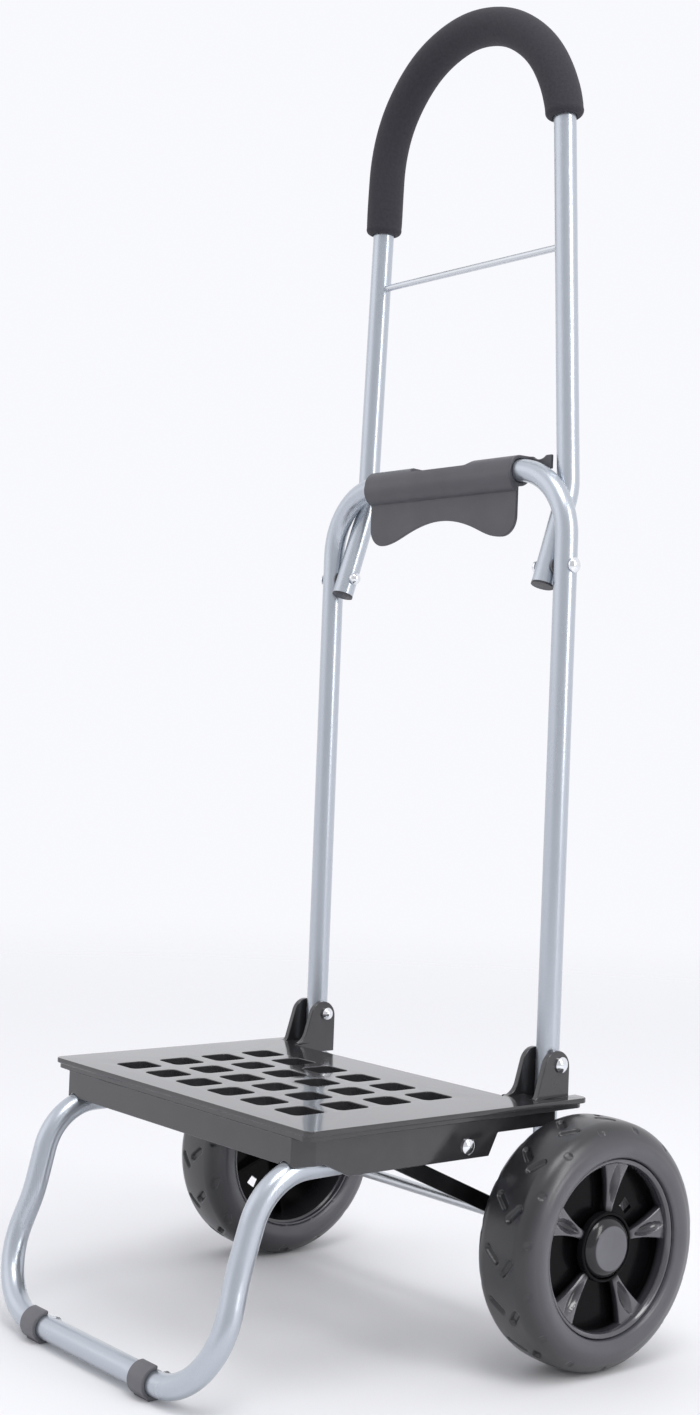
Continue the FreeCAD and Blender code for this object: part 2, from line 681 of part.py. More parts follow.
def deck():
    """One moulding: slotted top, stepped lip, skirt, ribs and hinge ears."""
    lip_z = DECK_TOP_Z - DECK_LIP
    under_z = lip_z - DECK_LIP
    top = rounded_plate(DECK_HALF, DECK_FRONT_U, DECK_REAR_U, lip_z, DECK_TOP_Z, DECK_CORNER_R)
    under = rounded_plate(DECK_HALF - DECK_LIP_STEP, DECK_FRONT_U + DECK_LIP_FRONT_STEP,
                          DECK_REAR_U - DECK_LIP_STEP, under_z, lip_z, DECK_CORNER_R)
    plate = top.fuse(under)
    rear = DECK_REAR_U + MARGIN
    low = under_z - MARGIN
    high = DECK_TOP_Z + MARGIN
    plate = plate.cut(block(-EAR_IN[0], EAR_IN[0], DECK_MID_REAR_U, rear, low, high))
    for side in SIDES.values():
        plate = plate.cut(block(side * EAR_IN[0], side * EAR_OUT[0], NOTCH_U, rear, low, high))
    shapes = [plate, skirt()] + ribs()
    shapes.append(block(-EAR_IN[1], EAR_IN[1], DECK_MID_REAR_U - SKIRT_WALL, DECK_MID_REAR_U,
                        REAR_WALL_Z, lip_z))
    for side in SIDES.values():
        shapes.append(ear(EAR_OUT, side, lip_z))
        shapes.append(ear(EAR_IN, side, under_z))
        shapes.append(block(side * EAR_IN[0], side * EAR_IN[1], DECK_MID_REAR_U - SKIRT_WALL, NOTCH_U,
                            under_z, lip_z))
    body = fused(shapes)
    body = body.cut(Part.makeCompound(deck_holes()))
    # The front skirt is relieved where the stand's legs pass under it.
    body = body.cut(sweep(stand_path(), TUBE_R + STAND_RELIEF))
    reach = DECK_HALF + MARGIN
    body = body.cut(rod(-reach, reach, 0, HINGE_Z, BOLT_R))
    return body.cut(rod(-reach, reach, STAND_PIVOT_U, STAND_PIVOT_Z, BOLT_R))


def platform_parts():
    """Everything that folds up with the deck."""
    parts = {"deck": deck()}
    leg_out = STAND_X + TUBE_R
    leg_in = STAND_X - TUBE_R
    for name, side in SIDES.items():
        parts["hinge_bolt_" + name] = bolt(
            EAR_OUT[1], EAR_IN[0] - BOLT_TAIL, side, 0, HINGE_Z, HINGE_HEAD_R, HINGE_HEAD)
        parts["hinge_nut_" + name] = cap_nut(EAR_IN[0], side, 0, HINGE_Z, HINGE_NUT_R, HINGE_NUT)
        parts["stand_bolt_" + name] = bolt(
            SKIRT_HALF, leg_in - BOLT_TAIL, side, STAND_PIVOT_U, STAND_PIVOT_Z, HINGE_HEAD_R, STAND_HEAD)
        parts["stand_nut_" + name] = cap_nut(
            leg_in - FIXED_GAP, side, STAND_PIVOT_U, STAND_PIVOT_Z, HINGE_NUT_R, STAND_NUT)
        parts["stand_spacer_" + name] = sleeve(
            side * (leg_out + FIXED_GAP), side * (SKIRT_HALF - SKIRT_WALL),
            STAND_PIVOT_U, STAND_PIVOT_Z, STAND_SPACER_R, BOLT_R)
    return parts


# ---------------------------------------------------------------- stand
def stand_end(side):
    """Rear end of a stand leg and the direction that it points in."""
    forward = (at(0, STAND_TOP_U, STAND_TOP_Z) - at(0, STAND_PIVOT_U, STAND_PIVOT_Z)).normalize()
    return at(side * STAND_X, STAND_PIVOT_U, STAND_PIVOT_Z) - forward * STAND_TAIL, -forward


def stand_path():
    """Centre line of the stand: right leg, foot bar, left leg."""
    half = [stand_end(1)[0], at(STAND_X, STAND_TOP_U, STAND_TOP_Z),
            at(STAND_KNEE_X, STAND_KNEE_U, STAND_KNEE_Z), at(STAND_FOOT_X, STAND_FRONT_U, STAND_FOOT_Z)]
    mirrored = [FreeCAD.Vector(-point.x, point.y, point.z) for point in half]
    bends = [STAND_TOP_BEND_R, STAND_KNEE_BEND_R, STAND_FOOT_BEND_R]
    return rounded_path(half + mirrored[::-1], bends + bends[::-1])


def stand_tube():
    """Bent stand: two legs that run forward under the deck, bend down and join in a foot bar."""
    tube = bent_tube(stand_path())
    reach = STAND_X + 2 * TUBE_R
    inboard = STAND_X - 2 * TUBE_R
    for side in SIDES.values():
        tube = tube.cut(rod(side * inboard, side * reach, STAND_PIVOT_U, STAND_PIVOT_Z, BOLT_R + RUNNING))
        tube = tube.cut(rod(side * inboard, side * reach, LINK_END_U, LINK_END_Z, BOLT_R))
    return tube


def foot_clip(side):
    """Plastic band round the foot bar, open at the upper back, with a flat sole."""
    x0 = side * CLIP_X - CLIP_WIDTH / 2
    x1 = x0 + CLIP_WIDTH
    u, z = STAND_FRONT_U, STAND_FOOT_Z
    band = sleeve(x0, x1, u, z, TUBE_R + CLIP_WALL, TUBE_R)
    sole = block(x0, x1, u - CLIP_SOLE_HALF, u + CLIP_SOLE_HALF, 0, CLIP_WALL)
    sole = sole.cut(rod(x0, x1, u, z, TUBE_R))
    mouth = prism_x([(u, z), (u + CLIP_MOUTH, z + CLIP_MOUTH_EDGE), (u + CLIP_MOUTH, z + CLIP_MOUTH),
                     (u + CLIP_MOUTH_EDGE, z + CLIP_MOUTH)], x0, x1)
    return band.fuse(sole).cut(mouth).removeSplitter()


def clip_rivet(side):
    """Low rivet head on the top of the foot bar, beside a clip."""
    x = side * CLIP_X + CLIP_RIVET_STEP
    tilt = math.radians(CLIP_RIVET_TILT_DEG)
    way = FreeCAD.Vector(0, math.sin(tilt), math.cos(tilt))
    centre = at(x, STAND_FRONT_U, STAND_FOOT_Z) + way * (TUBE_R - CLIP_RIVET_R + CLIP_RIVET_RISE)
    return Part.makeSphere(CLIP_RIVET_R, centre).cut(sweep(stand_path(), TUBE_R))


def stand_parts():
    """Everything that swings with the stand."""
    parts = {"stand_tube": stand_tube()}
    leg_out = STAND_X + TUBE_R
    for name, side in SIDES.items():
        parts["foot_clip_" + name] = foot_clip(side)
        parts["clip_rivet_" + name] = clip_rivet(side)
        parts["stand_plug_" + name] = end_plug(*stand_end(side))
        parts["link_stud_" + name] = bolt(
            leg_out, STAND_X - TUBE_R, side, LINK_END_U, LINK_END_Z, RIVET_HEAD_R, RIVET_HEAD)
    return parts


# ---------------------------------------------------------------- links
def link_bar(side):
    """Flat bar from the axle up to the stand's leg, with a round eye at each end."""
    x0, x1 = side * LINK_X[0], side * LINK_X[1]
    run_u = LINK_END_U
    run_z = LINK_END_Z - AXLE_Z
    length = math.hypot(run_u, run_z)
    across = (-run_z / length * LINK_HALF_WIDTH, run_u / length * LINK_HALF_WIDTH)
    bar = prism_x([(across[0], AXLE_Z + across[1]),
                   (run_u + across[0], LINK_END_Z + across[1]),
                   (run_u - across[0], LINK_END_Z - across[1]),
                   (-across[0], AXLE_Z - across[1])], x0, x1)
    lower_eye = rod(x0, x1, 0, AXLE_Z, LINK_EYE_R)
    upper_eye = rod(x0, x1, LINK_END_U, LINK_END_Z, LINK_UPPER_EYE_R)
    body = fused([bar, lower_eye, upper_eye])
    body = body.cut(rod(x0, x1, 0, AXLE_Z, AXLE_R + RUNNING))
    return body.cut(rod(x0, x1, LINK_END_U, LINK_END_Z, BOLT_R))


def link_parts():
    """Both link bars and the rivets in their upper eyes."""
    parts = {}
    for name, side in SIDES.items():
        parts["link_bar_" + name] = link_bar(side)
        parts["link_rivet_" + name] = bolt(
            LINK_X[0], LINK_X[1], side, LINK_END_U, LINK_END_Z, RIVET_HEAD_R, RIVET_HEAD)
    return parts


# ---------------------------------------------------------------- wheels
def wheel_point(x, r):
    """Point on a turned profile, above the axle line."""
    return at(x, 0, AXLE_Z + r)


def tyre():
    """Solid tyre with round shoulders and slightly bulging side walls."""
    half = (WHEEL_OUT_X - WHEEL_IN_X) / 2
    mid = (WHEEL_OUT_X + WHEEL_IN_X) / 2

    def p(offset, r):
        return wheel_point(mid + offset, r)

    seat = half - TYRE_SEAT_INSET
    wall = half - TYRE_WALL_TOP[0]
    shoulder = half - TYRE_SHOULDER[0]
    edge = half - TYRE_TREAD_EDGE[0]
    edge_r = TYRE_TREAD_EDGE[1]
    edges = [Part.LineSegment(p(-seat, TYRE_SEAT_R), p(seat, TYRE_SEAT_R)).toShape()]
    for way in (1, -1):
        wall_top = p(way * wall, TYRE_WALL_TOP[1])
        edges.append(Part.Arc(p(way * seat, TYRE_SEAT_R), p(way * half, TYRE_WALL_R), wall_top).toShape())
        edges.append(Part.Arc(wall_top, p(way * shoulder, TYRE_SHOULDER[1]), p(way * edge, edge_r)).toShape())
    edges.append(Part.Arc(p(edge, edge_r), p(0, WHEEL_R), p(-edge, edge_r)).toShape())
    return turned(Part.sortEdges(edges)[0])


def ring_section(x0, x1, r0, r1):
    """Ring about the axle line between two x values and two radii."""
    return sleeve(x0, x1, 0, AXLE_Z, r1, r0)


def spoke_window(index):
    """One opening between two spokes, through the front web."""
    turn = math.radians(SPOKE_TURN_DEG + (index + 0.5) * 360 / SPOKES)
    half_step = math.pi / SPOKES
    start_x = SPOKE_FRONT_X - 2 * SPOKE_DEPTH

    def p(r, half_width, way):
        angle = turn + way * (half_step - math.asin(half_width / r))
        return at(start_x, r * math.sin(angle), AXLE_Z + r * math.cos(angle))

    inner_r = HUB_RING_R + WINDOW_HUB_GAP
    radii = (inner_r, (HUB_RING_R + RIM_LIP_R) / 2, RIM_LIP_R)
    left = [p(r, half_width, -1) for r, half_width in zip(radii, SPOKE_HALF_WIDTHS)]
    right = [p(r, half_width, 1) for r, half_width in zip(radii, SPOKE_HALF_WIDTHS)]

    def on_circle(r):
        return at(start_x, r * math.sin(turn), AXLE_Z + r * math.cos(turn))

    edges = [Part.Arc(*left).toShape(),
             Part.Arc(left[2], on_circle(RIM_LIP_R), right[2]).toShape(),
             Part.Arc(right[2], right[1], right[0]).toShape(),
             Part.Arc(right[0], on_circle(inner_r), left[0]).toShape()]
    return Part.Face(Part.Wire(edges)).extrude(X_AXIS * (3 * SPOKE_DEPTH))


def back_opening():
    """The one small four-sided opening through the back web."""
    low, high = BACK_OPENING_R
    size = (BACK_WEB_X[1] - BACK_WEB_X[0] + 2 * MARGIN, 2 * BACK_OPENING_HALF, high - low)
    corner = FreeCAD.Vector(BACK_WEB_X[0] - MARGIN, -BACK_OPENING_HALF, low)
    opening = Part.makeBox(*size, corner)
    opening.rotate(FreeCAD.Vector(0, 0, 0), X_AXIS, -BACK_OPENING_TURN_DEG)
    opening.translate(at(0, 0, AXLE_Z))
    return opening


def spoke_dimple(index):
    """Long oval hollow in the front of one spoke."""
    turn_deg = SPOKE_TURN_DEG + index * 360 / SPOKES
    ball = Part.makeSphere(1.0)
    stretch = FreeCAD.Matrix()
    stretch.scale(*DIMPLE_SIZE)
    oval = ball.transformGeometry(stretch)
    oval.translate(FreeCAD.Vector(SPOKE_FRONT_X + DIMPLE_LIFT, 0, DIMPLE_R))
    oval.rotate(FreeCAD.Vector(0, 0, 0), X_AXIS, -turn_deg)
    oval.translate(at(0, 0, AXLE_Z))
    return oval


def rim():
    """Moulded rim: barrel, front lip, five paddle spokes, a back web and a hub with a ring."""
    spoke_back_x = SPOKE_FRONT_X - SPOKE_DEPTH
    barrel = ring_section(RIM_IN_X, RIM_FACE_X, RIM_BARREL_R, TYRE_SEAT_R)
    lip = ring_section(spoke_back_x, RIM_FACE_X, RIM_LIP_R, TYRE_SEAT_R)
    web = ring_section(spoke_back_x, SPOKE_FRONT_X, HUB_BARREL_R, RIM_BARREL_R + MARGIN)
    back_web = ring_section(*BACK_WEB_X, HUB_BARREL_R - MARGIN, RIM_BARREL_R + MARGIN).cut(back_opening())
    for index in range(SPOKES):
        web = web.cut(spoke_window(index))
    hub = rod(WHEEL_IN_X, HUB_FACE_X, 0, AXLE_Z, HUB_BARREL_R)
    disc = rod(HUB_FACE_X - HUB_DISC_DEPTH, HUB_FACE_X, 0, AXLE_Z, HUB_RING_R)
    ring = rod(HUB_FACE_X - MARGIN, SPOKE_FRONT_X, 0, AXLE_Z, HUB_RING_R)
    body = fused([barrel, lip, web, back_web, hub, disc, ring])
    body = body.cut(rod(HUB_FACE_X, SPOKE_FRONT_X + MARGIN, 0, AXLE_Z, HUB_RING_R - HUB_RING_WALL))
    body = body.cut(rod(WHEEL_IN_X - MARGIN, WHEEL_OUT_X, 0, AXLE_Z, BUSH_R))
    for index in range(SPOKES):
        body = body.cut(spoke_dimple(index))
    return body


def hub_cap():
    """Snap-in cap: a domed side, a flat face and a hollow for the axle's end."""
    base_r = HUB_RING_R - HUB_RING_WALL
    shoulder = (CAP_FACE_X - CAP_SHOULDER, base_r - HUB_RING_WALL)
    hollow_x = CAP_FACE_X - CAP_WALL
    curve = ((SPOKE_FRONT_X - CAP_EDGE, base_r), shoulder, (CAP_FACE_X, CAP_FACE_R))
    outline = ((CAP_FACE_X, CAP_FACE_R), (CAP_FACE_X, 0), (hollow_x, 0), (hollow_x, CAP_BORE_R),
               (HUB_FACE_X, CAP_BORE_R), (HUB_FACE_X, base_r), (SPOKE_FRONT_X - CAP_EDGE, base_r))
    edges = [Part.Arc(*[wheel_point(*point) for point in curve]).toShape()]
    for start, end in zip(outline, outline[1:]):
        edges.append(Part.LineSegment(wheel_point(*start), wheel_point(*end)).toShape())
    return turned(edges)


def wheel_parts():
    """Both wheels: the left one is the right one's mirror image, stopped at another turn."""
    right = {"tyre": tyre(),
             "rim": rim(),
             "hub_cap": hub_cap(),
             "wheel_bush": ring_section(WHEEL_IN_X, HUB_FACE_X, AXLE_R + RUNNING, BUSH_R)}
    parts = {}
    for kind, shape in right.items():
        mirrored = shape.mirror(FreeCAD.Vector(0, 0, 0), X_AXIS)
        mirrored.rotate(at(0, 0, AXLE_Z), X_AXIS, -LEFT_WHEEL_TURN_DEG)
        parts[kind + "_right"] = shape
        parts[kind + "_left"] = mirrored
    return parts


# ---------------------------------------------------------------- output
def all_parts():
    """Every node's shape by name."""
    parts = {}
    for group in (frame_parts(), handle_parts(), {"handle_lock": handle_lock()}, platform_parts(),
                  stand_parts(), link_parts(), wheel_parts()):
        parts.update(group)
    return parts


os.makedirs("parts", exist_ok=True)
for node, shape in all_parts().items():
    shape.exportStep(os.path.join("parts", node + ".step"))
    print(node, "solids", len(shape.Solids), "volume", round(shape.Volume), "valid", shape.isValid())
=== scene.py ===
"""Studio scene of the folding hand trolley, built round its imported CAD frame."""

import json
import math

import bmesh
import bpy
from mathutils import Matrix, Vector


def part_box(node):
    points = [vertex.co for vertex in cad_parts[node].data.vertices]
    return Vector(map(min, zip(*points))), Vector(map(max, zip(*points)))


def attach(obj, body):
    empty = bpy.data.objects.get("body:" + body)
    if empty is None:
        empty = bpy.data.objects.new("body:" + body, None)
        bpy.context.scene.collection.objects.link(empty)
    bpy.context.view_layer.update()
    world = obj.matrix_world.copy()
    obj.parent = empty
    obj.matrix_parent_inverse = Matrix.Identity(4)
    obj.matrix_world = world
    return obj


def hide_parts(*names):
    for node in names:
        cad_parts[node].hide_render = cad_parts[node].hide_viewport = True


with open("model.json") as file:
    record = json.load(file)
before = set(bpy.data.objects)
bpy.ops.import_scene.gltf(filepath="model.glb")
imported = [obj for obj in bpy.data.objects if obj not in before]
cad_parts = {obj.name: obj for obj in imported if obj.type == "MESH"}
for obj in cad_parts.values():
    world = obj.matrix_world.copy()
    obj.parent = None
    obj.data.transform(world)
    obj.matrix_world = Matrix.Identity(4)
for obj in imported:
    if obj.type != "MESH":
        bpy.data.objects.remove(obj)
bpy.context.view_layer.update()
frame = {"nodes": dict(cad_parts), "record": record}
nodes = frame["nodes"]

MM = 0.001
SIDES = {"left": -1, "right": 1}

# The wheels' line, read off the frame
axle_low, axle_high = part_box("axle")
AXLE = (axle_low + axle_high) / 2


# ---------------------------------------------------------------- materials
class Material:
    """A node material, built up a step at a time."""

    def __init__(self, name, colour, roughness, metallic=0.0, coat=0.0, specular=0.5):
        self.material = bpy.data.materials.new(name)
        self.material.use_nodes = True
        self.tree = self.material.node_tree
        self.shader = self.tree.nodes["Principled BSDF"]
        self.shader.inputs["Base Color"].default_value = (*colour, 1)
        self.shader.inputs["Roughness"].default_value = roughness
        self.shader.inputs["Metallic"].default_value = metallic
        self.shader.inputs["Coat Weight"].default_value = coat
        self.shader.inputs["Specular IOR Level"].default_value = specular
        self.place = self.node("ShaderNodeTexCoord").outputs["Object"]
        self.normal = None

    def node(self, kind, **settings):
        made = self.tree.nodes.new(kind)
        for key, value in settings.items():
            if key in made.inputs:
                made.inputs[key].default_value = value
            else:
                setattr(made, key, value)
        return made

    def link(self, source, target):
        self.tree.links.new(source, target)

    def noise(self, per_metre, detail=2.0, stretch=(1, 1, 1)):
        """Noise with features about 1/per_metre across, stretched along an axis."""
        mapping = self.node("ShaderNodeMapping", Scale=stretch)
        self.link(self.place, mapping.inputs["Vector"])
        noise = self.node("ShaderNodeTexNoise", Scale=per_metre, Detail=detail)
        self.link(mapping.outputs["Vector"], noise.inputs["Vector"])
        return noise.outputs["Fac"]

    def spread(self, source, low, high, from_low=0.3, from_high=0.7):
        """source remapped to a value between low and high."""
        remap = self.node("ShaderNodeMapRange")
        ends = (("From Min", from_low), ("From Max", from_high), ("To Min", low), ("To Max", high))
        for key, value in ends:
            remap.inputs[key].default_value = value
        self.link(source, remap.inputs["Value"])
        return remap.outputs["Result"]

    def from_axle(self):
        """Distance from the wheels' axle, in metres."""
        offset = self.node("ShaderNodeVectorMath", operation="SUBTRACT")
        self.link(self.place, offset.inputs[0])
        offset.inputs[1].default_value = (0, AXLE.y, AXLE.z)
        flat = self.node("ShaderNodeVectorMath", operation="MULTIPLY")
        self.link(offset.outputs[0], flat.inputs[0])
        flat.inputs[1].default_value = (0, 1, 1)
        length = self.node("ShaderNodeVectorMath", operation="LENGTH")
        self.link(flat.outputs[0], length.inputs[0])
        return length.outputs["Value"]

    def from_middle(self):
        """Sideways distance from the middle plane, in metres."""
        split = self.node("ShaderNodeSeparateXYZ")
        self.link(self.place, split.inputs[0])
        size = self.node("ShaderNodeMath", operation="ABSOLUTE")
        self.link(split.outputs["X"], size.inputs[0])
        return size.outputs[0]

    def larger(self, first, second):
        pick = self.node("ShaderNodeMath", operation="MAXIMUM")
        self.link(first, pick.inputs[0])
        self.link(second, pick.inputs[1])
        return pick.outputs[0]

    def shade_by(self, amount, dark_share):
        """Painted shade: darken the colour to dark_share where amount is 0, and leave it where amount is 1.
        """
        socket = self.shader.inputs["Base Color"]
        gain = self.node("ShaderNodeMapRange")
        gain.inputs["To Min"].default_value = dark_share
        self.link(amount, gain.inputs["Value"])
        scale = self.node("ShaderNodeVectorMath", operation="SCALE")
        self.link(socket.links[0].from_socket, scale.inputs[0])
        self.link(gain.outputs["Result"], scale.inputs["Scale"])
        self.link(scale.outputs[0], socket)
        return self

    def vary_roughness(self, source, low, high):
        self.link(self.spread(source, low, high), self.shader.inputs["Roughness"])
        return self

    def vary_colour(self, source, dark, light):
        mix = self.node("ShaderNodeMix", data_type="RGBA")
        self.link(self.spread(source, 0, 1), mix.inputs[0])
        mix.inputs[6].default_value = (*dark, 1)
        mix.inputs[7].default_value = (*light, 1)
        self.link(mix.outputs[2], self.shader.inputs["Base Color"])
        return self

    def bump(self, source, height_mm):
        """Relief of the given height added over any relief there already is."""
        bump = self.node("ShaderNodeBump", Strength=1.0, Distance=height_mm * MM)
        self.link(source, bump.inputs["Height"])
        if self.normal is not None:
            self.link(self.normal, bump.inputs["Normal"])
        self.normal = bump.outputs["Normal"]
        self.link(self.normal, self.shader.inputs["Normal"])
        return self


def silver_paint():
    """Silver metallic paint under a thin clear coat."""
    m = Material("silver_tube", (0.50, 0.54, 0.59), 0.30, metallic=0.85, coat=0.35)
    m.shader.inputs["Coat Roughness"].default_value = 0.10
    m.vary_colour(m.noise(1500, 1), (0.485, 0.522, 0.572), (0.513, 0.552, 0.604))
    m.vary_roughness(m.noise(60, 3, (1, 1, 0.25)), 0.26, 0.33)
    m.bump(m.noise(500, 2), 0.0015)
    return m.material


def bright_steel():
    """Bare drawn steel, brushed along its length."""
    m = Material("bright_steel", (0.62, 0.64, 0.67), 0.25, metallic=1.0)
    m.vary_roughness(m.noise(240, 4, (0.05, 1, 1)), 0.18, 0.30)
    m.bump(m.noise(900, 2, (0.03, 1, 1)), 0.003)
    return m.material


def zinc():
    """Bright zinc-plated hardware."""
    m = Material("zinc_hardware", (0.82, 0.84, 0.87), 0.12, metallic=1.0)
    m.vary_colour(m.noise(420, 3), (0.76, 0.78, 0.81), (0.88, 0.89, 0.91))
    m.vary_roughness(m.noise(600, 3), 0.08, 0.18)
    return m.material


def foam():
    """Matt closed-cell foam with fine pores."""
    m = Material("foam", (0.035, 0.034, 0.041), 0.88, specular=0.25)
    m.shader.inputs["Sheen Weight"].default_value = 0.06
    m.shader.inputs["Sheen Roughness"].default_value = 0.5
    m.vary_colour(m.noise(500, 3), (0.031, 0.030, 0.037), (0.040, 0.039, 0.047))
    cells = m.node("ShaderNodeTexVoronoi", Scale=1500.0, feature="F1")
    m.link(m.place, cells.inputs["Vector"])
    m.bump(m.spread(cells.outputs["Distance"], 0, 1, 0, 0.7), 0.05)
    m.bump(m.noise(110, 3), 0.06)
    return m.material


def deck_gloss():
    """Glossy black moulding with a slight ripple."""
    m = Material("deck_plastic", (0.028, 0.027, 0.030), 0.12, coat=0.45)
    m.shader.inputs["Coat Roughness"].default_value = 0.05
    m.vary_roughness(m.noise(26, 4, (0.25, 1, 1)), 0.09, 0.17)
    m.vary_colour(m.noise(60, 3), (0.025, 0.0245, 0.027), (0.032, 0.031, 0.034))
    m.bump(m.noise(14, 2, (0.35, 1, 1)), 0.08)
    return m.material


def satin_plastic(name, dark, light, rough_low, rough_high, grain_mm=0.01):
    """Moulded plastic with a fine spark-eroded grain and faint flow marks."""
    m = Material(name, light, rough_low)
    m.vary_colour(m.noise(40, 4), dark, light)
    m.vary_roughness(m.noise(90, 3), rough_low, rough_high)
    m.bump(m.noise(1700, 2), grain_mm)
    return m


# Where the wheels' painted shade and painted light change, in metres from the axle or from the middle plane
TREAD_ZONE = (0.0665, 0.0785)
RIM_FRONT_ZONE = (0.1825, 0.1865)
RIM_BEYOND_HUB_ZONE = (0.0225, 0.027)
RIM_RING_ZONE = (0.0548, 0.0562)
CAP_DOME_ZONE = (0.0142, 0.0150)
# Share of the colour that is left where shade is painted
TREAD_PAINTED_SHADE, RIM_PAINTED_SHADE, DOME_PAINTED_SHADE = 0.24, 0.06, 0.10
RIM_SPECULAR = (0.08, 0.5)


def tyre_rubber():
    """Rubber with side walls painted paler than the tread: a painted sheen near the rim and painted shade
    over the shoulders and tread.
    """
    m = Material("tyre", (0.062, 0.061, 0.072), 0.34, coat=0.35, specular=0.6)
    m.shader.inputs["Coat Roughness"].default_value = 0.28
    m.vary_colour(m.noise(45, 4), (0.058, 0.057, 0.068), (0.068, 0.067, 0.079))
    # Painted shade: the colour darkens from the side wall over the shoulders to the tread, leaving a painted
    # sheen near the rim.
    m.shade_by(m.spread(m.from_axle(), 1, 0, *TREAD_ZONE), TREAD_PAINTED_SHADE)
    m.vary_roughness(m.noise(80, 4), 0.30, 0.38)
    m.bump(m.noise(1300, 3), 0.012)
    return m.material


def rim_moulding():
    """Glossy face and rim ring; the inside of the wheel, behind the spokes, is duller and darkened with
    painted shade, and the colour is darker round the hub.
    """
    m = satin_plastic("rim_plastic", (0.048, 0.046, 0.055), (0.058, 0.056, 0.066), 0.16, 0.22, 0.002)
    m.shader.inputs["Coat Roughness"].default_value = 0.07
    forward = m.spread(m.from_middle(), 0, 1, *RIM_FRONT_ZONE)
    beyond_hub = m.spread(m.from_axle(), 0, 1, *RIM_BEYOND_HUB_ZONE)
    outer = m.spread(m.from_axle(), 0, 1, *RIM_RING_ZONE)
    face = m.node("ShaderNodeMath", operation="MULTIPLY")
    m.link(forward, face.inputs[0])
    m.link(beyond_hub, face.inputs[1])
    front = m.larger(face.outputs[0], outer)
    # Painted shade: behind the spokes the colour is darkened as in shadow; round the hub it is darker too.
    m.shade_by(front, RIM_PAINTED_SHADE)
    m.link(front, m.shader.inputs["Coat Weight"])
    m.link(m.spread(front, *RIM_SPECULAR, 0, 1), m.shader.inputs["Specular IOR Level"])
    return m.material


def cap_moulding():
    """Glossy dome round a flat face that is painted paler than the dome, as painted light from the side."""
    m = satin_plastic("cap_plastic", (0.104, 0.102, 0.116), (0.120, 0.118, 0.134), 0.12, 0.18, 0.002)
    # Painted light and shade: the flat face keeps the pale colour, the dome is darkened.
    m.shade_by(m.spread(m.from_axle(), 1, 0, *CAP_DOME_ZONE), DOME_PAINTED_SHADE)
    return m.material


LOOKS = {
    "silver_tube": silver_paint(),
    "bright_steel": bright_steel(),
    "zinc_hardware": zinc(),
    "foam": foam(),
    "deck_plastic": deck_gloss(),
    "lock_plastic": satin_plastic(
        "lock_plastic", (0.062, 0.061, 0.070), (0.074, 0.073, 0.084), 0.34, 0.42).material,
    "black_fitting": satin_plastic(
        "black_fitting", (0.118, 0.117, 0.129), (0.138, 0.137, 0.150), 0.36, 0.5).material,
    "black_steel": satin_plastic(
        "black_steel", (0.004, 0.004, 0.005), (0.008, 0.008, 0.009), 0.3, 0.42, 0.004).material,
    "tyre": tyre_rubber(),
    "rim_plastic": rim_moulding(),
    "cap_plastic": cap_moulding(),
}

# The tube plugs get a blacker copy of the fitting plastic: painted shade, where they sit inside the tube
# ends.
PLUG_SHADED_LOOK = satin_plastic("plug_painted_shade_plastic", (0.026, 0.026, 0.030), (0.036, 0.036, 0.041), 0.4, 0.5).material

NODE_SLOT = {part["node"]: part["material_slot"] for part in frame["record"]["subparts"]}
for name, slot in NODE_SLOT.items():
    nodes[name].data.materials.clear()
    # Plugs take the darker copy, painted shade for their place inside the tube ends.
    nodes[name].data.materials.append(PLUG_SHADED_LOOK if "_plug_" in name else LOOKS[slot])


# ---------------------------------------------------------------- mesh helpers
def add_piece(name, mesh, body, node):
    """A finished piece that stands for a CAD node and rides on its body."""
    piece = bpy.data.objects.new(name, mesh)
    bpy.context.scene.collection.objects.link(piece)
    slot = NODE_SLOT[node]
    mesh.materials.clear()
    mesh.materials.append(LOOKS[slot])
    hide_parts(node)
    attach(piece, body)
    return piece


# No edge is sharper than this, so a mesh with it is smooth all over
ALL_SMOOTH_DEG = 180


def finished_mesh(name, bm, smooth_deg):
    """Mesh from a bmesh, shaded smooth apart from edges sharper than an angle."""
    bmesh.ops.recalc_face_normals(bm, faces=bm.faces)
    mesh = bpy.data.meshes.new(name)
    bm.to_mesh(mesh)
    bm.free()
    if "custom_normal" in mesh.attributes:
        mesh.attributes.remove(mesh.attributes["custom_normal"])
    mesh.shade_smooth()
    mesh.set_sharp_from_angle(angle=math.radians(smooth_deg))
    return mesh


WELD = 2e-6
SHARP_EDGE_DEG = 28
FLAT_FACE_WEIGHT = 100


def softened(node, body, width_mm, segments=2):
    """The CAD node's shape with its sharp edges rounded, as a moulding or a stamping has them."""
    bm = bmesh.new()
    bm.from_mesh(nodes[node].data)
    bmesh.ops.remove_doubles(bm, verts=bm.verts, dist=WELD)
    mesh = finished_mesh(node + "_finished", bm, ALL_SMOOTH_DEG)
    piece = add_piece(node + "_finished", mesh, body, node)
    bevel = piece.modifiers.new("round_edges", "BEVEL")
    bevel.width = width_mm * MM
    bevel.segments = segments
    bevel.limit_method = "ANGLE"
    bevel.angle_limit = math.radians(SHARP_EDGE_DEG)
    bevel.use_clamp_overlap = False
    bevel.loop_slide = False
    bevel.miter_outer = "MITER_ARC"
    piece.modifiers.new("flat_faces", "WEIGHTED_NORMAL").weight = FLAT_FACE_WEIGHT
    return piece


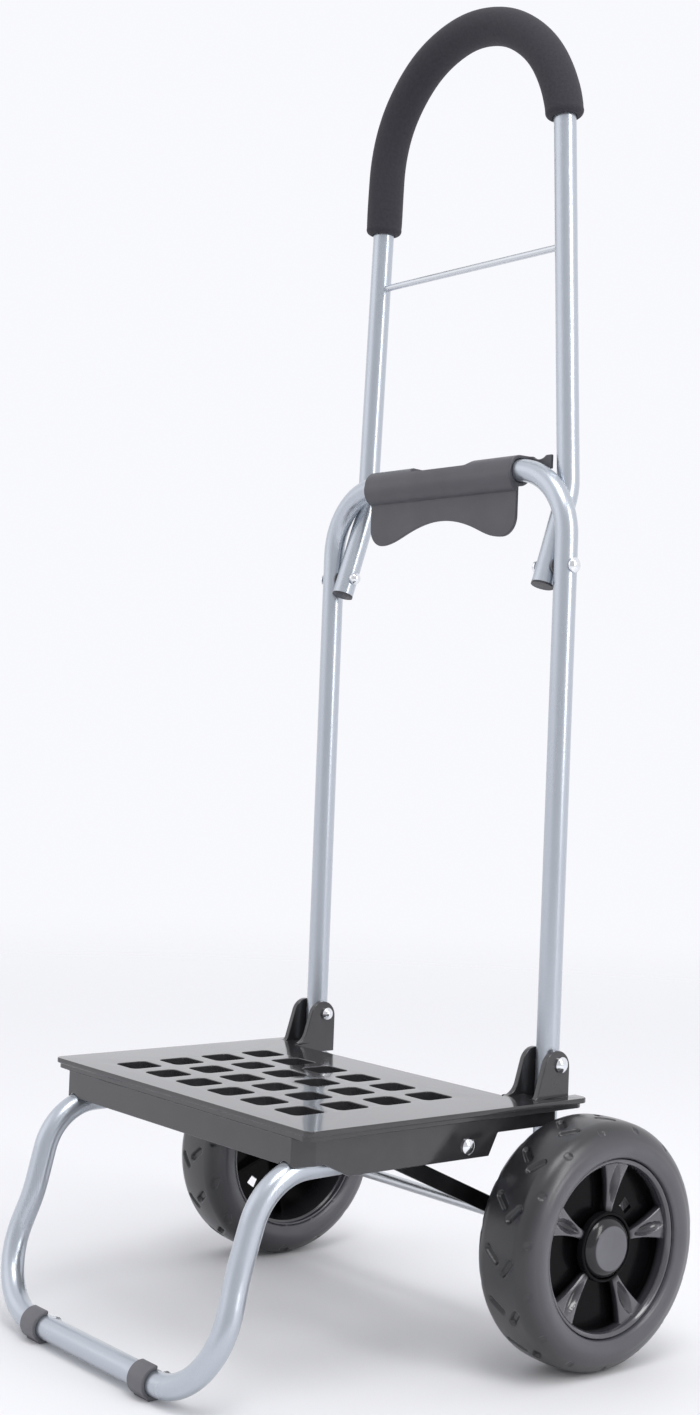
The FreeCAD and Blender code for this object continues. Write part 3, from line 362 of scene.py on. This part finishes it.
def arc_points(start, middle, end, steps):
    """Points of the circle arc through three (a, b) points, both ends included."""
    (ax, ay), (bx, by), (cx, cy) = start, middle, end
    d = 2 * (ax * (by - cy) + bx * (cy - ay) + cx * (ay - by))
    a2, b2, c2 = ax * ax + ay * ay, bx * bx + by * by, cx * cx + cy * cy
    ox = (a2 * (by - cy) + b2 * (cy - ay) + c2 * (ay - by)) / d
    oy = (a2 * (cx - bx) + b2 * (ax - cx) + c2 * (bx - ax)) / d
    radius = math.hypot(ax - ox, ay - oy)
    first = math.atan2(ay - oy, ax - ox)
    half = (math.atan2(by - oy, bx - ox) - first + math.pi) % (2 * math.pi) - math.pi
    whole = (math.atan2(cy - oy, cx - ox) - first) % (2 * math.pi)
    if half < 0:
        whole -= 2 * math.pi
    turns = [first + whole * k / steps for k in range(steps + 1)]
    return [(ox + radius * math.cos(turn), oy + radius * math.sin(turn)) for turn in turns]


def round_corner(before, corner, after, radius, steps=5):
    """Points that replace a corner of an (a, b) outline with an arc."""
    p, c, q = Vector(before), Vector(corner), Vector(after)
    back, on = (p - c).normalized(), (q - c).normalized()
    half_angle = math.acos(max(-1, min(1, back.dot(on)))) / 2
    reach = min(radius / math.tan(half_angle), (p - c).length * 0.49, (q - c).length * 0.49)
    radius = reach * math.tan(half_angle)
    middle = (back + on).normalized()
    centre = c + middle * (radius / math.sin(half_angle))
    start, end = c + back * reach, c + on * reach
    return arc_points(tuple(start), tuple(centre - middle * radius), tuple(end), steps)


def rounded_outline(corners):
    """Closed (a, b) outline from (a, b, radius) corners."""
    points = []
    for k, (a, b, radius) in enumerate(corners):
        before, after = corners[k - 1][:2], corners[(k + 1) % len(corners)][:2]
        points += round_corner(before, (a, b), after, radius) if radius else [(a, b)]
    return points


def wheel_point(side, x, r, turn):
    """Point at x from the middle plane and r from the axle, turned from straight up towards the rear."""
    return Vector((side * x * MM, AXLE.y + r * MM * math.sin(turn), AXLE.z + r * MM * math.cos(turn)))


def turned(bm, profile, steps, side, relief=None):
    """Closed (x, r) profile turned about the axle. relief(x, turn) pushes a point in towards the axle."""
    rings = []
    for k in range(steps):
        turn = 2 * math.pi * k / steps
        rings.append([bm.verts.new(wheel_point(side, x, r - (relief(x, turn) if relief else 0), turn))
                      for x, r in profile])
    count = len(profile)
    for k in range(steps):
        here, there = rings[k], rings[(k + 1) % steps]
        for i in range(count):
            j = (i + 1) % count
            bm.faces.new((here[i], there[i], there[j], here[j]))


def add_wheel_piece(part, finish, name, bm, smooth_deg):
    """A finished piece of one wheel, in place of the CAD node of that part."""
    node = part + "_" + name
    add_piece(node + "_" + finish, finished_mesh(node, bm, smooth_deg), "wheel_" + name, node)


# ---------------------------------------------------------------- wheels
WHEEL_IN, WHEEL_OUT = 144.2, 197.0
WHEEL_MID = (WHEEL_IN + WHEEL_OUT) / 2
HALF_TYRE = (WHEEL_OUT - WHEEL_IN) / 2
TYRE_R = 82.5
SEAT_R = 59.0
# Arcs of the tyre's side wall, as distances in from its widest place, with radii
BEAD = ((3.0, SEAT_R), (1.9, SEAT_R + 0.8), (1.1, SEAT_R + 2.6))
BULGE = ((0.0, 66.0), (1.2, 71.5))
SHOULDER = ((6.4, 79.0), (14.5, 81.9))
BEAD_STEPS, BULGE_STEPS, SHOULDER_STEPS, CROWN_STEPS = 4, 9, 26, 40
TYRE_STEPS = 780
TREAD_PERIODS = 15
# Slots of the tread: sideways place, place round the tyre in mm, slant in degrees, length, width, depth
SLOTS = ((8.5, 4.0, 52, 14.0, 4.2, 2.3),
         (-4.5, 10.5, -38, 15.0, 4.6, 2.4),
         (-21.0, 24.0, -75, 9.0, 3.6, 1.9),
         (21.5, 21.0, 80, 5.0, 2.6, 1.0))
SLOT_SLOPE = 1.3


def tread_relief(x, turn):
    """Depth of the tread's slots at a point of the crown."""
    period = 2 * math.pi * TYRE_R / TREAD_PERIODS
    around = (turn * TYRE_R) % period
    deepest = 0.0
    for place, start, slant, length, width, depth in SLOTS:
        across = x - WHEEL_MID - place
        if abs(across) > length:
            continue
        along = (around - start + period / 2) % period - period / 2
        c, s = math.cos(math.radians(slant)), math.sin(math.radians(slant))
        lengthways, sideways = across * c + along * s, along * c - across * s
        end = max(0.0, abs(lengthways) - (length - width) / 2)
        distance = math.hypot(end, sideways)
        edge = (width / 2 - distance) / SLOT_SLOPE + 0.5
        if edge > 0:
            edge = min(1.0, edge)
            deepest = max(deepest, depth * edge * edge * (3 - 2 * edge))
    return deepest


def tyre_profile():
    """Cross-section of the tyre: seat, beads, bulging side walls, shoulders and a low crown."""

    def wall(way):
        def places(arc):
            return [(way * (HALF_TYRE - inset), r) for inset, r in arc]

        bead = arc_points(*places(BEAD), BEAD_STEPS)
        bulge = arc_points(bead[-1], *places(BULGE), BULGE_STEPS)
        shoulder = arc_points(bulge[-1], *places(SHOULDER), SHOULDER_STEPS)
        return bead + bulge[1:] + shoulder[1:]

    right, left = wall(1), wall(-1)
    crown = arc_points(right[-1], (0, TYRE_R), left[-1], CROWN_STEPS)
    return [(WHEEL_MID + offset, r) for offset, r in right + crown[1:-1] + left[::-1]]


def make_tyre(name, side):
    bm = bmesh.new()
    turned(bm, tyre_profile(), TYRE_STEPS, side, tread_relief)
    add_wheel_piece("tyre", "treaded", name, bm, ALL_SMOOTH_DEG)


SPOKES = 5
SPOKE_TURN = {-1: math.radians(172.2), 1: math.radians(8.2)}
SPOKE_IN_R, SPOKE_OUT_R = 20.5, 55.4
SPOKE_WIDTHS = ((20.5, 2.9), (38.4, 5.7), (54.0, 11.0))
HUB_R = 22.8
RIM_STEPS, HUB_STEPS = 216, 144
RIM_SMOOTH_DEG = 42
FACE_X = 188.5
SPOKE_BACK_X = 182.0
SPOKE_SINK = 1.6
SPOKE_RISE = 2.2
SPOKE_CROWN = 0.9
SPOKE_EDGE_R = 1.0
SPOKE_STEPS_ALONG, SPOKE_STEPS_ACROSS = 44, 28
HOLLOW_MID_R = 41.0
HOLLOW_HALF_LENGTH = 13.0
HOLLOW_END_HALF, HOLLOW_WIDENING = 0.6, 3.6
HOLLOW_DEPTH = 4.2
BACK_WEB_X = (176.0, 179.0)
BACK_WEB_IN_R, BACK_WEB_OUT_R = 12.0, 55.6
BACK_WEB_STEPS = 240
BACK_OPENING_R = (31.0, 38.0)
BACK_OPENING_TURN_DEG = 42.0
BACK_OPENING_HALF_STEPS = 5
RIB_HALF = 1.2
RIB_SUNK = 1
# (r, x) corners of a rib's inboard edge
RIB_EDGE = ((BACK_WEB_IN_R, 166.0), (30.0, 169.5), (48.0, 172.0), (BACK_WEB_OUT_R, 171.0))


def spoke_half_width(r):
    """Half the width of a paddle spoke: slim at the hub, flared into the rim."""
    (r0, w0), (r1, w1), (r2, w2) = SPOKE_WIDTHS
    return (w0 * (r - r1) * (r - r2) / ((r0 - r1) * (r0 - r2))
            + w1 * (r - r0) * (r - r2) / ((r1 - r0) * (r1 - r2))
            + w2 * (r - r0) * (r - r1) / ((r2 - r0) * (r2 - r1)))


def spoke_front(r, across):
    """x of the spoke's face: it sinks a little towards the hub and has a long oval hollow."""
    t = (r - SPOKE_IN_R) / (SPOKE_OUT_R - SPOKE_IN_R)
    level = FACE_X - SPOKE_SINK + SPOKE_RISE * t
    crown = SPOKE_CROWN * across * across
    lengthways = max(0.0, 1 - ((r - HOLLOW_MID_R) / HOLLOW_HALF_LENGTH) ** 2)
    half_width = HOLLOW_END_HALF + HOLLOW_WIDENING * lengthways
    sideways = max(0.0, 1 - (across * spoke_half_width(r) / half_width) ** 2)
    hollow = HOLLOW_DEPTH * math.sqrt(lengthways) * sideways
    return level - crown - hollow


def make_spoke(bm, index, side):
    """One spoke as a closed solid: a shaped face with rounded edges, and flat sides."""
    turn = SPOKE_TURN[side] + index * 2 * math.pi / SPOKES
    along, across, rounding = SPOKE_STEPS_ALONG, SPOKE_STEPS_ACROSS, SPOKE_EDGE_R
    top, base = [], []
    for i in range(along + 1):
        r = SPOKE_IN_R + (SPOKE_OUT_R - SPOKE_IN_R) * i / along
        half = spoke_half_width(r)
        row_top, row_base = [], []
        for j in range(across + 1):
            a = -math.cos(math.pi * j / across)
            edge = max(0.0, (abs(a) * half - (half - rounding)) / rounding)
            drop = rounding * (1 - math.sqrt(max(0.0, 1 - edge * edge)))
            swing = turn + math.asin(a * half / r)
            row_top.append(bm.verts.new(wheel_point(side, spoke_front(r, a) - drop, r, swing)))
            row_base.append(bm.verts.new(wheel_point(side, SPOKE_BACK_X, r, swing)))
        top.append(row_top)
        base.append(row_base)
    for i in range(along):
        for j in range(across):
            bm.faces.new((top[i][j], top[i][j + 1], top[i + 1][j + 1], top[i + 1][j]))
            bm.faces.new((base[i][j], base[i + 1][j], base[i + 1][j + 1], base[i][j + 1]))
        for j in (0, across):
            bm.faces.new((top[i][j], top[i + 1][j], base[i + 1][j], base[i][j]))
    for i in (0, along):
        for j in range(across):
            bm.faces.new((top[i][j], base[i][j], base[i][j + 1], top[i][j + 1]))


def make_back_web(bm, side):
    """Closed disc behind the spokes, with one small four-sided opening near the hub."""
    steps = BACK_WEB_STEPS
    radii = (BACK_WEB_IN_R, *BACK_OPENING_R, BACK_WEB_OUT_R)
    turns = [SPOKE_TURN[side] + 2 * math.pi * k / steps for k in range(steps)]
    sheets = [[[bm.verts.new(wheel_point(side, x, r, turn)) for r in radii] for turn in turns]
              for x in BACK_WEB_X]

    middle = steps * BACK_OPENING_TURN_DEG / 360

    def is_open(k, band):
        return band == 1 and abs(k + 0.5 - middle) < BACK_OPENING_HALF_STEPS

    back, front = sheets
    for k in range(steps):
        n = (k + 1) % steps
        for band in range(len(radii) - 1):
            if is_open(k, band):
                for ring in (band, band + 1):
                    bm.faces.new((back[k][ring], back[n][ring], front[n][ring], front[k][ring]))
                continue
            for sheet in sheets:
                bm.faces.new((sheet[k][band], sheet[n][band], sheet[n][band + 1], sheet[k][band + 1]))
            if is_open((k - 1) % steps, band) or is_open(n, band):
                e = k if is_open((k - 1) % steps, band) else n
                bm.faces.new((back[e][band], front[e][band], front[e][band + 1], back[e][band + 1]))
        for ring in (0, len(radii) - 1):
            bm.faces.new((back[k][ring], back[n][ring], front[n][ring], front[k][ring]))


def make_back_rib(bm, index, side):
    """Stiffening rib on the inboard face of the back web, from the hub out to the barrel."""
    turn = SPOKE_TURN[side] + index * 2 * math.pi / SPOKES
    sunk_x = BACK_WEB_X[0] + RIB_SUNK
    outline = (*RIB_EDGE, (BACK_WEB_OUT_R, sunk_x), (BACK_WEB_IN_R, sunk_x))
    walls = []
    for way in (-1, 1):
        walls.append([bm.verts.new(wheel_point(side, x, r, turn + way * math.asin(RIB_HALF / r)))
                      for r, x in outline])
    bm.faces.new(walls[0])
    bm.faces.new(walls[1])
    for k in range(len(outline)):
        n = (k + 1) % len(outline)
        bm.faces.new((walls[0][k], walls[0][n], walls[1][n], walls[1][k]))


def make_rim(name, side):
    """Barrel with its lip, hub, closed back with ribs, and the spokes. Corners are (x, r, rounding)."""
    bm = bmesh.new()
    in_x = WHEEL_IN + 3.0
    lip = rounded_outline([
        (in_x, SEAT_R - 2.0, 0.5), (in_x + 4.0, SEAT_R - 2.0, 0.4), (in_x + 4.0, SEAT_R - 3.6, 0.6),
        (FACE_X - 6.0, SEAT_R - 4.2, 1.5), (FACE_X + 1.2, SEAT_R - 4.5, 0.6),
        (FACE_X + 3.2, SEAT_R - 3.7, 1.0), (FACE_X + 4.3, SEAT_R - 2.3, 1.2),
        (FACE_X + 4.4, SEAT_R - 0.9, 0.8), (FACE_X + 2.0, SEAT_R - 0.15, 0.5), (in_x, SEAT_R - 0.15, 0.8)])
    turned(bm, lip, RIM_STEPS, side)
    hub = rounded_outline([
        (WHEEL_IN, 7.4, 0.5), (FACE_X - 6.0, 7.4, 0), (FACE_X - 4.9, HUB_R - 2.4, 0),
        (FACE_X + 0.2, HUB_R - 2.0, 0.7), (FACE_X + 0.2, HUB_R, 0.9), (FACE_X - 5.0, HUB_R + 0.5, 1.0),
        (FACE_X - 10.0, 12.5, 3.0), (WHEEL_IN, 12.5, 0.8)])
    turned(bm, hub, HUB_STEPS, side)
    make_back_web(bm, side)
    for index in range(SPOKES):
        make_spoke(bm, index, side)
        make_back_rib(bm, index, side)
    add_wheel_piece("rim", "spoked", name, bm, RIM_SMOOTH_DEG)


# Hub cap: the middle of its face and of its back are closed with small discs
CAP_FACE_X, CAP_BACK_X = FACE_X + 3.6, FACE_X - 0.2
CAP_DISC_R = 0.4
CAP_DISC_ZONE = 0.6 * MM
CAP_NEAR = 1e-7
CAP_STEPS = 128
CAP_DOME_STEPS = 12
CAP_SMOOTH_DEG = 30


def axle_distance(vert):
    """Distance of a vertex from the wheels' axle."""
    return math.hypot(vert.co.y - AXLE.y, vert.co.z - AXLE.z)


def make_cap(name, side):
    """Glossy snap-in cap: domed side, crisp edge and a very slightly dished face."""
    bm = bmesh.new()
    dome = arc_points((FACE_X - 2.0, 20.5), (FACE_X + 1.9, 18.3), (FACE_X + 4.1, 14.5), CAP_DOME_STEPS)
    profile = [(FACE_X - 4.4, 9.6), (FACE_X - 4.4, 20.5)] + dome
    profile += [(FACE_X + 4.3, 14.1), (FACE_X + 4.28, 13.5), (FACE_X + 3.9, 10.0), (FACE_X + 3.65, 5.0),
                (CAP_FACE_X, CAP_DISC_R), (CAP_BACK_X, CAP_DISC_R), (CAP_BACK_X, 9.6)]
    turned(bm, profile, CAP_STEPS, side)
    for x in (CAP_FACE_X, CAP_BACK_X):
        disc = [v for v in bm.verts
                if abs(v.co.x - side * x * MM) < CAP_NEAR and axle_distance(v) < CAP_DISC_ZONE]
        disc.sort(key=lambda v: math.atan2(v.co.y - AXLE.y, v.co.z - AXLE.z))
        bm.faces.new(disc)
    inside = [f for f in bm.faces
              if len(f.verts) == 4 and all(axle_distance(v) < CAP_DISC_ZONE for v in f.verts)]
    bmesh.ops.delete(bm, geom=inside, context="FACES_ONLY")
    add_wheel_piece("hub_cap", "domed", name, bm, CAP_SMOOTH_DEG)


for name, side in SIDES.items():
    make_tyre(name, side)
    make_rim(name, side)
    make_cap(name, side)


# ---------------------------------------------------------------- foam grip
BEND_X, TOP_X, BEND_Z, TOP_Z, ARCH_Z = 110.0, 98.0, 588.0, 830.0, 937.0
BEND_U, TOP_U = 17.6, 14.4
GRIP_R, GRIP_BORE, GRIP_END = 13.7, 8.05, 4.2
GRIP_LEFT_Z, GRIP_RIGHT_Z = 802.0, 851.0
GRIP_STEPS, GRIP_AROUND, GRIP_END_STEPS, BORE_STEPS = 260, 64, 8, 100
# Rings of the sleeve's mouth: distance in from its end, clearance from the tube
GRIP_MOUTH = ((1.4, 0.0), (0.5, 0.5))
BORE_END = 3
# Past each rounded end the sleeve is a little thinner, which fades out over GRIP_FADE. Its skin is
# even where less than EVEN_BELOW of that fade is done.
GRIP_PLAIN = GRIP_END * 1.15
GRIP_FADE = 12
GRIP_SINK = 0.17
EVEN_BELOW = 0.2
# Waves of the skin: height, length along the sleeve for one radian, waves round it, start
SKIN_WAVES = ((0.10, 23.0, 2, 0.0), (0.07, 9.0, -3, 1.3))


def handle_point(x, z):
    """Point of the handle's plane, which leans forward as it rises."""
    u = BEND_U + (TOP_U - BEND_U) / (TOP_Z - BEND_Z) * (z - BEND_Z)
    return Vector((x * MM, AXLE.y + u * MM, z * MM))


def grip_line(steps):
    """Evenly spaced points of the sleeve's centre line: up the left leg, over the arch."""
    slope = math.atan2(BEND_X - TOP_X, TOP_Z - BEND_Z)
    at_zero = TOP_X + TOP_Z * math.tan(slope)
    centre_z = (ARCH_Z - at_zero * math.cos(slope)) / (1 - math.sin(slope))
    radius = ARCH_Z - centre_z
    start_x = TOP_X - (GRIP_LEFT_Z - TOP_Z) * math.tan(slope)
    tangent_x, tangent_z = radius * math.cos(slope), centre_z + radius * math.sin(slope)
    straight = math.hypot(start_x - tangent_x, tangent_z - GRIP_LEFT_Z)
    end_angle = math.asin((GRIP_RIGHT_Z - centre_z) / radius)
    sweep = math.pi - slope - end_angle
    total = straight + radius * sweep
    points = []
    for k in range(steps + 1):
        run = total * k / steps
        if run < straight:
            share = run / straight
            x = -start_x + (start_x - tangent_x) * share
            z = GRIP_LEFT_Z + (tangent_z - GRIP_LEFT_Z) * share
        else:
            angle = math.pi - slope - (run - straight) / radius
            x, z = radius * math.cos(angle), centre_z + radius * math.sin(angle)
        points.append((handle_point(x, z), run, total))
    return points


def grip_ring(bm, centre, way, radius, run=None):
    """Ring of points round the sleeve's centre line. With a run along the sleeve, the skin is uneven."""
    side_way = way.cross(Vector((0, 1, 0))).normalized()
    up_way = way.cross(side_way).normalized()
    ring = []
    for j in range(GRIP_AROUND):
        a = 2 * math.pi * j / GRIP_AROUND
        r = radius
        if run is not None:
            r += sum(height * math.sin(run / length + waves * a + start)
                     for height, length, waves, start in SKIN_WAVES)
        ring.append(bm.verts.new(centre + (side_way * math.cos(a) + up_way * math.sin(a)) * r * MM))
    return ring


def grip_end(bm, point, way, inward):
    """Rings of one end of the sleeve, from its mouth on the tube out to the full thickness."""
    rings = [grip_ring(bm, point + inward * depth * MM, way, GRIP_BORE + gap) for depth, gap in GRIP_MOUTH]
    for k in range(GRIP_END_STEPS + 1):
        a = math.pi / 2 * k / GRIP_END_STEPS
        rings.append(grip_ring(bm, point + inward * (GRIP_END * (1 - math.cos(a))) * MM, way,
                               GRIP_R - GRIP_END * (1 - math.sin(a))))
    return rings


def make_grip():
    """Foam sleeve: rounded ends that hug the tube, and a skin that isn't perfectly even."""
    line = grip_line(GRIP_STEPS)
    total = line[0][2]
    stations = []
    for k, (point, run, _) in enumerate(line):
        before, after = line[max(0, k - 1)][0], line[min(GRIP_STEPS, k + 1)][0]
        stations.append((point, (after - before).normalized(), run))

    bm = bmesh.new()
    point, way, _ = stations[0]
    rings = grip_end(bm, point, way, way)
    for point, way, run in stations:
        if GRIP_PLAIN < run < total - GRIP_PLAIN:
            fade = min(1.0, (run - GRIP_END) / GRIP_FADE, (total - GRIP_END - run) / GRIP_FADE)
            rings.append(grip_ring(bm, point, way, GRIP_R - GRIP_SINK * (1 - fade),
                                   run if fade > EVEN_BELOW else None))
    point, way, _ = stations[-1]
    rings += reversed(grip_end(bm, point, way, -way))
    for k in range(1, BORE_STEPS):
        point, way, run = stations[GRIP_STEPS * (BORE_STEPS - k) // BORE_STEPS]
        if BORE_END < run < total - BORE_END:
            rings.append(grip_ring(bm, point, way, GRIP_BORE))
    for k in range(len(rings)):
        here, there = rings[k], rings[(k + 1) % len(rings)]
        for j in range(GRIP_AROUND):
            i = (j + 1) % GRIP_AROUND
            bm.faces.new((here[j], here[i], there[i], there[j]))
    mesh = finished_mesh("foam_grip_sleeve", bm, ALL_SMOOTH_DEG)
    piece = add_piece("foam_grip_sleeve", mesh, "handle", "foam_grip")


make_grip()


# ---------------------------------------------------------------- mouldings and stampings
softened("deck", "platform", 0.55)
softened("handle_lock", "lock", 0.75, segments=3)
for name in SIDES:
    softened("foot_clip_" + name, "stand", 0.7, segments=3)
    softened("link_bar_" + name, "link_" + name, 0.6)


# ---------------------------------------------------------------- studio
FLOOR_RADIUS = 6.0
FLOOR_COLOUR = (0.83, 0.83, 0.845, 1)
FLOOR_ROUGHNESS = 0.75
FLOOR_FADE = (0.7, 3.0)
WORLD_COLOUR = (0.945, 0.95, 0.985, 1)
DIM_SIDE = Vector((0.78, -0.62, 0.1))
DIM_FROM, DIM_TO, DIM_LEVEL = 0.45, 0.9, 0.68
CAMERA_PLACE = (1.068646, -0.844274, 0.411375)
CAMERA_YAW_DEG, CAMERA_PITCH_DEG, CAMERA_ROLL_DEG = 51.046, 0.823, 2.19
CAMERA_LENS, CAMERA_SENSOR = 49.44, 36.0
CAMERA_CLIP = (0.05, 60.0)
# Name, place, aimed at, width, height, watts
LIGHTS = (("front_left", (-1.6, -2.2, 1.6), (0, 0, 0.4), 2.4, 2.0, 5),
          ("right", (2.2, 0.4, 1.3), (0, 0, 0.5), 0.6, 1.8, 18),
          ("top_right", (0.9, -0.4, 2.4), (0.1, 0, 0.2), 1.0, 1.0, 15))


def make_floor():
    """Pale floor that fades into the backdrop with distance."""
    bpy.ops.mesh.primitive_circle_add(vertices=96, radius=FLOOR_RADIUS, fill_type="NGON", location=(0, 0, 0))
    floor = bpy.context.object
    floor.name = "floor"
    m = bpy.data.materials.new("floor")
    m.use_nodes = True
    tree = m.node_tree
    shader = tree.nodes["Principled BSDF"]
    shader.inputs["Base Color"].default_value = FLOOR_COLOUR
    shader.inputs["Roughness"].default_value = FLOOR_ROUGHNESS
    place = tree.nodes.new("ShaderNodeTexCoord")
    distance = tree.nodes.new("ShaderNodeVectorMath")
    distance.operation = "LENGTH"
    tree.links.new(place.outputs["Object"], distance.inputs[0])
    fade = tree.nodes.new("ShaderNodeMapRange")
    fade.interpolation_type = "SMOOTHSTEP"
    fade.inputs["From Min"].default_value, fade.inputs["From Max"].default_value = FLOOR_FADE
    fade.inputs["To Min"].default_value = 1.0
    fade.inputs["To Max"].default_value = 0.0
    tree.links.new(distance.outputs["Value"], fade.inputs["Value"])
    tree.links.new(fade.outputs["Result"], shader.inputs["Alpha"])
    floor.data.materials.append(m)


def make_world():
    """White studio that is dimmer on its front right side."""
    world = bpy.data.worlds.new("studio")
    bpy.context.scene.world = world
    world.use_nodes = True
    tree = world.node_tree
    background = tree.nodes["Background"]
    place = tree.nodes.new("ShaderNodeTexCoord")
    facing = tree.nodes.new("ShaderNodeVectorMath")
    facing.operation = "DOT_PRODUCT"
    facing.inputs[1].default_value = DIM_SIDE.normalized()
    tree.links.new(place.outputs["Generated"], facing.inputs[0])
    level = tree.nodes.new("ShaderNodeMapRange")
    level.interpolation_type = "SMOOTHSTEP"
    level.inputs["From Min"].default_value = DIM_FROM
    level.inputs["From Max"].default_value = DIM_TO
    level.inputs["To Min"].default_value = 1.0
    level.inputs["To Max"].default_value = DIM_LEVEL
    tree.links.new(facing.outputs["Value"], level.inputs["Value"])
    tree.links.new(level.outputs["Result"], background.inputs["Strength"])
    background.inputs["Color"].default_value = WORLD_COLOUR


def area_light(name, location, target, width, height, power):
    data = bpy.data.lights.new(name, "AREA")
    data.shape = "RECTANGLE"
    data.size, data.size_y = width, height
    data.energy = power
    light = bpy.data.objects.new(name, data)
    light.location = location
    light.rotation_euler = (Vector(target) - Vector(location)).to_track_quat("-Z", "Y").to_euler()
    bpy.context.scene.collection.objects.link(light)


def make_camera():
    """The viewer stands in front and to the right, a little above the deck."""
    yaw = math.radians(CAMERA_YAW_DEG)
    pitch = math.radians(CAMERA_PITCH_DEG)
    roll = math.radians(CAMERA_ROLL_DEG)
    forward = Vector((-math.sin(yaw) * math.cos(pitch), math.cos(yaw) * math.cos(pitch), math.sin(pitch)))
    level_right = Vector((math.cos(yaw), math.sin(yaw), 0))
    level_up = level_right.cross(forward)
    right = level_right * math.cos(roll) + level_up * math.sin(roll)
    up = level_up * math.cos(roll) - level_right * math.sin(roll)
    data = bpy.data.cameras.new("camera")
    data.sensor_fit = "AUTO"
    data.sensor_width = CAMERA_SENSOR
    data.lens = CAMERA_LENS
    data.clip_start, data.clip_end = CAMERA_CLIP
    camera = bpy.data.objects.new("camera", data)
    turn = Matrix((right, up, -forward)).transposed().to_4x4()
    camera.matrix_world = Matrix.Translation(CAMERA_PLACE) @ turn
    bpy.context.scene.collection.objects.link(camera)
    bpy.context.scene.camera = camera


make_floor()
make_world()
make_camera()
for light in LIGHTS:
    area_light(*light)
bpy.context.scene.view_settings.view_transform = "Standard"
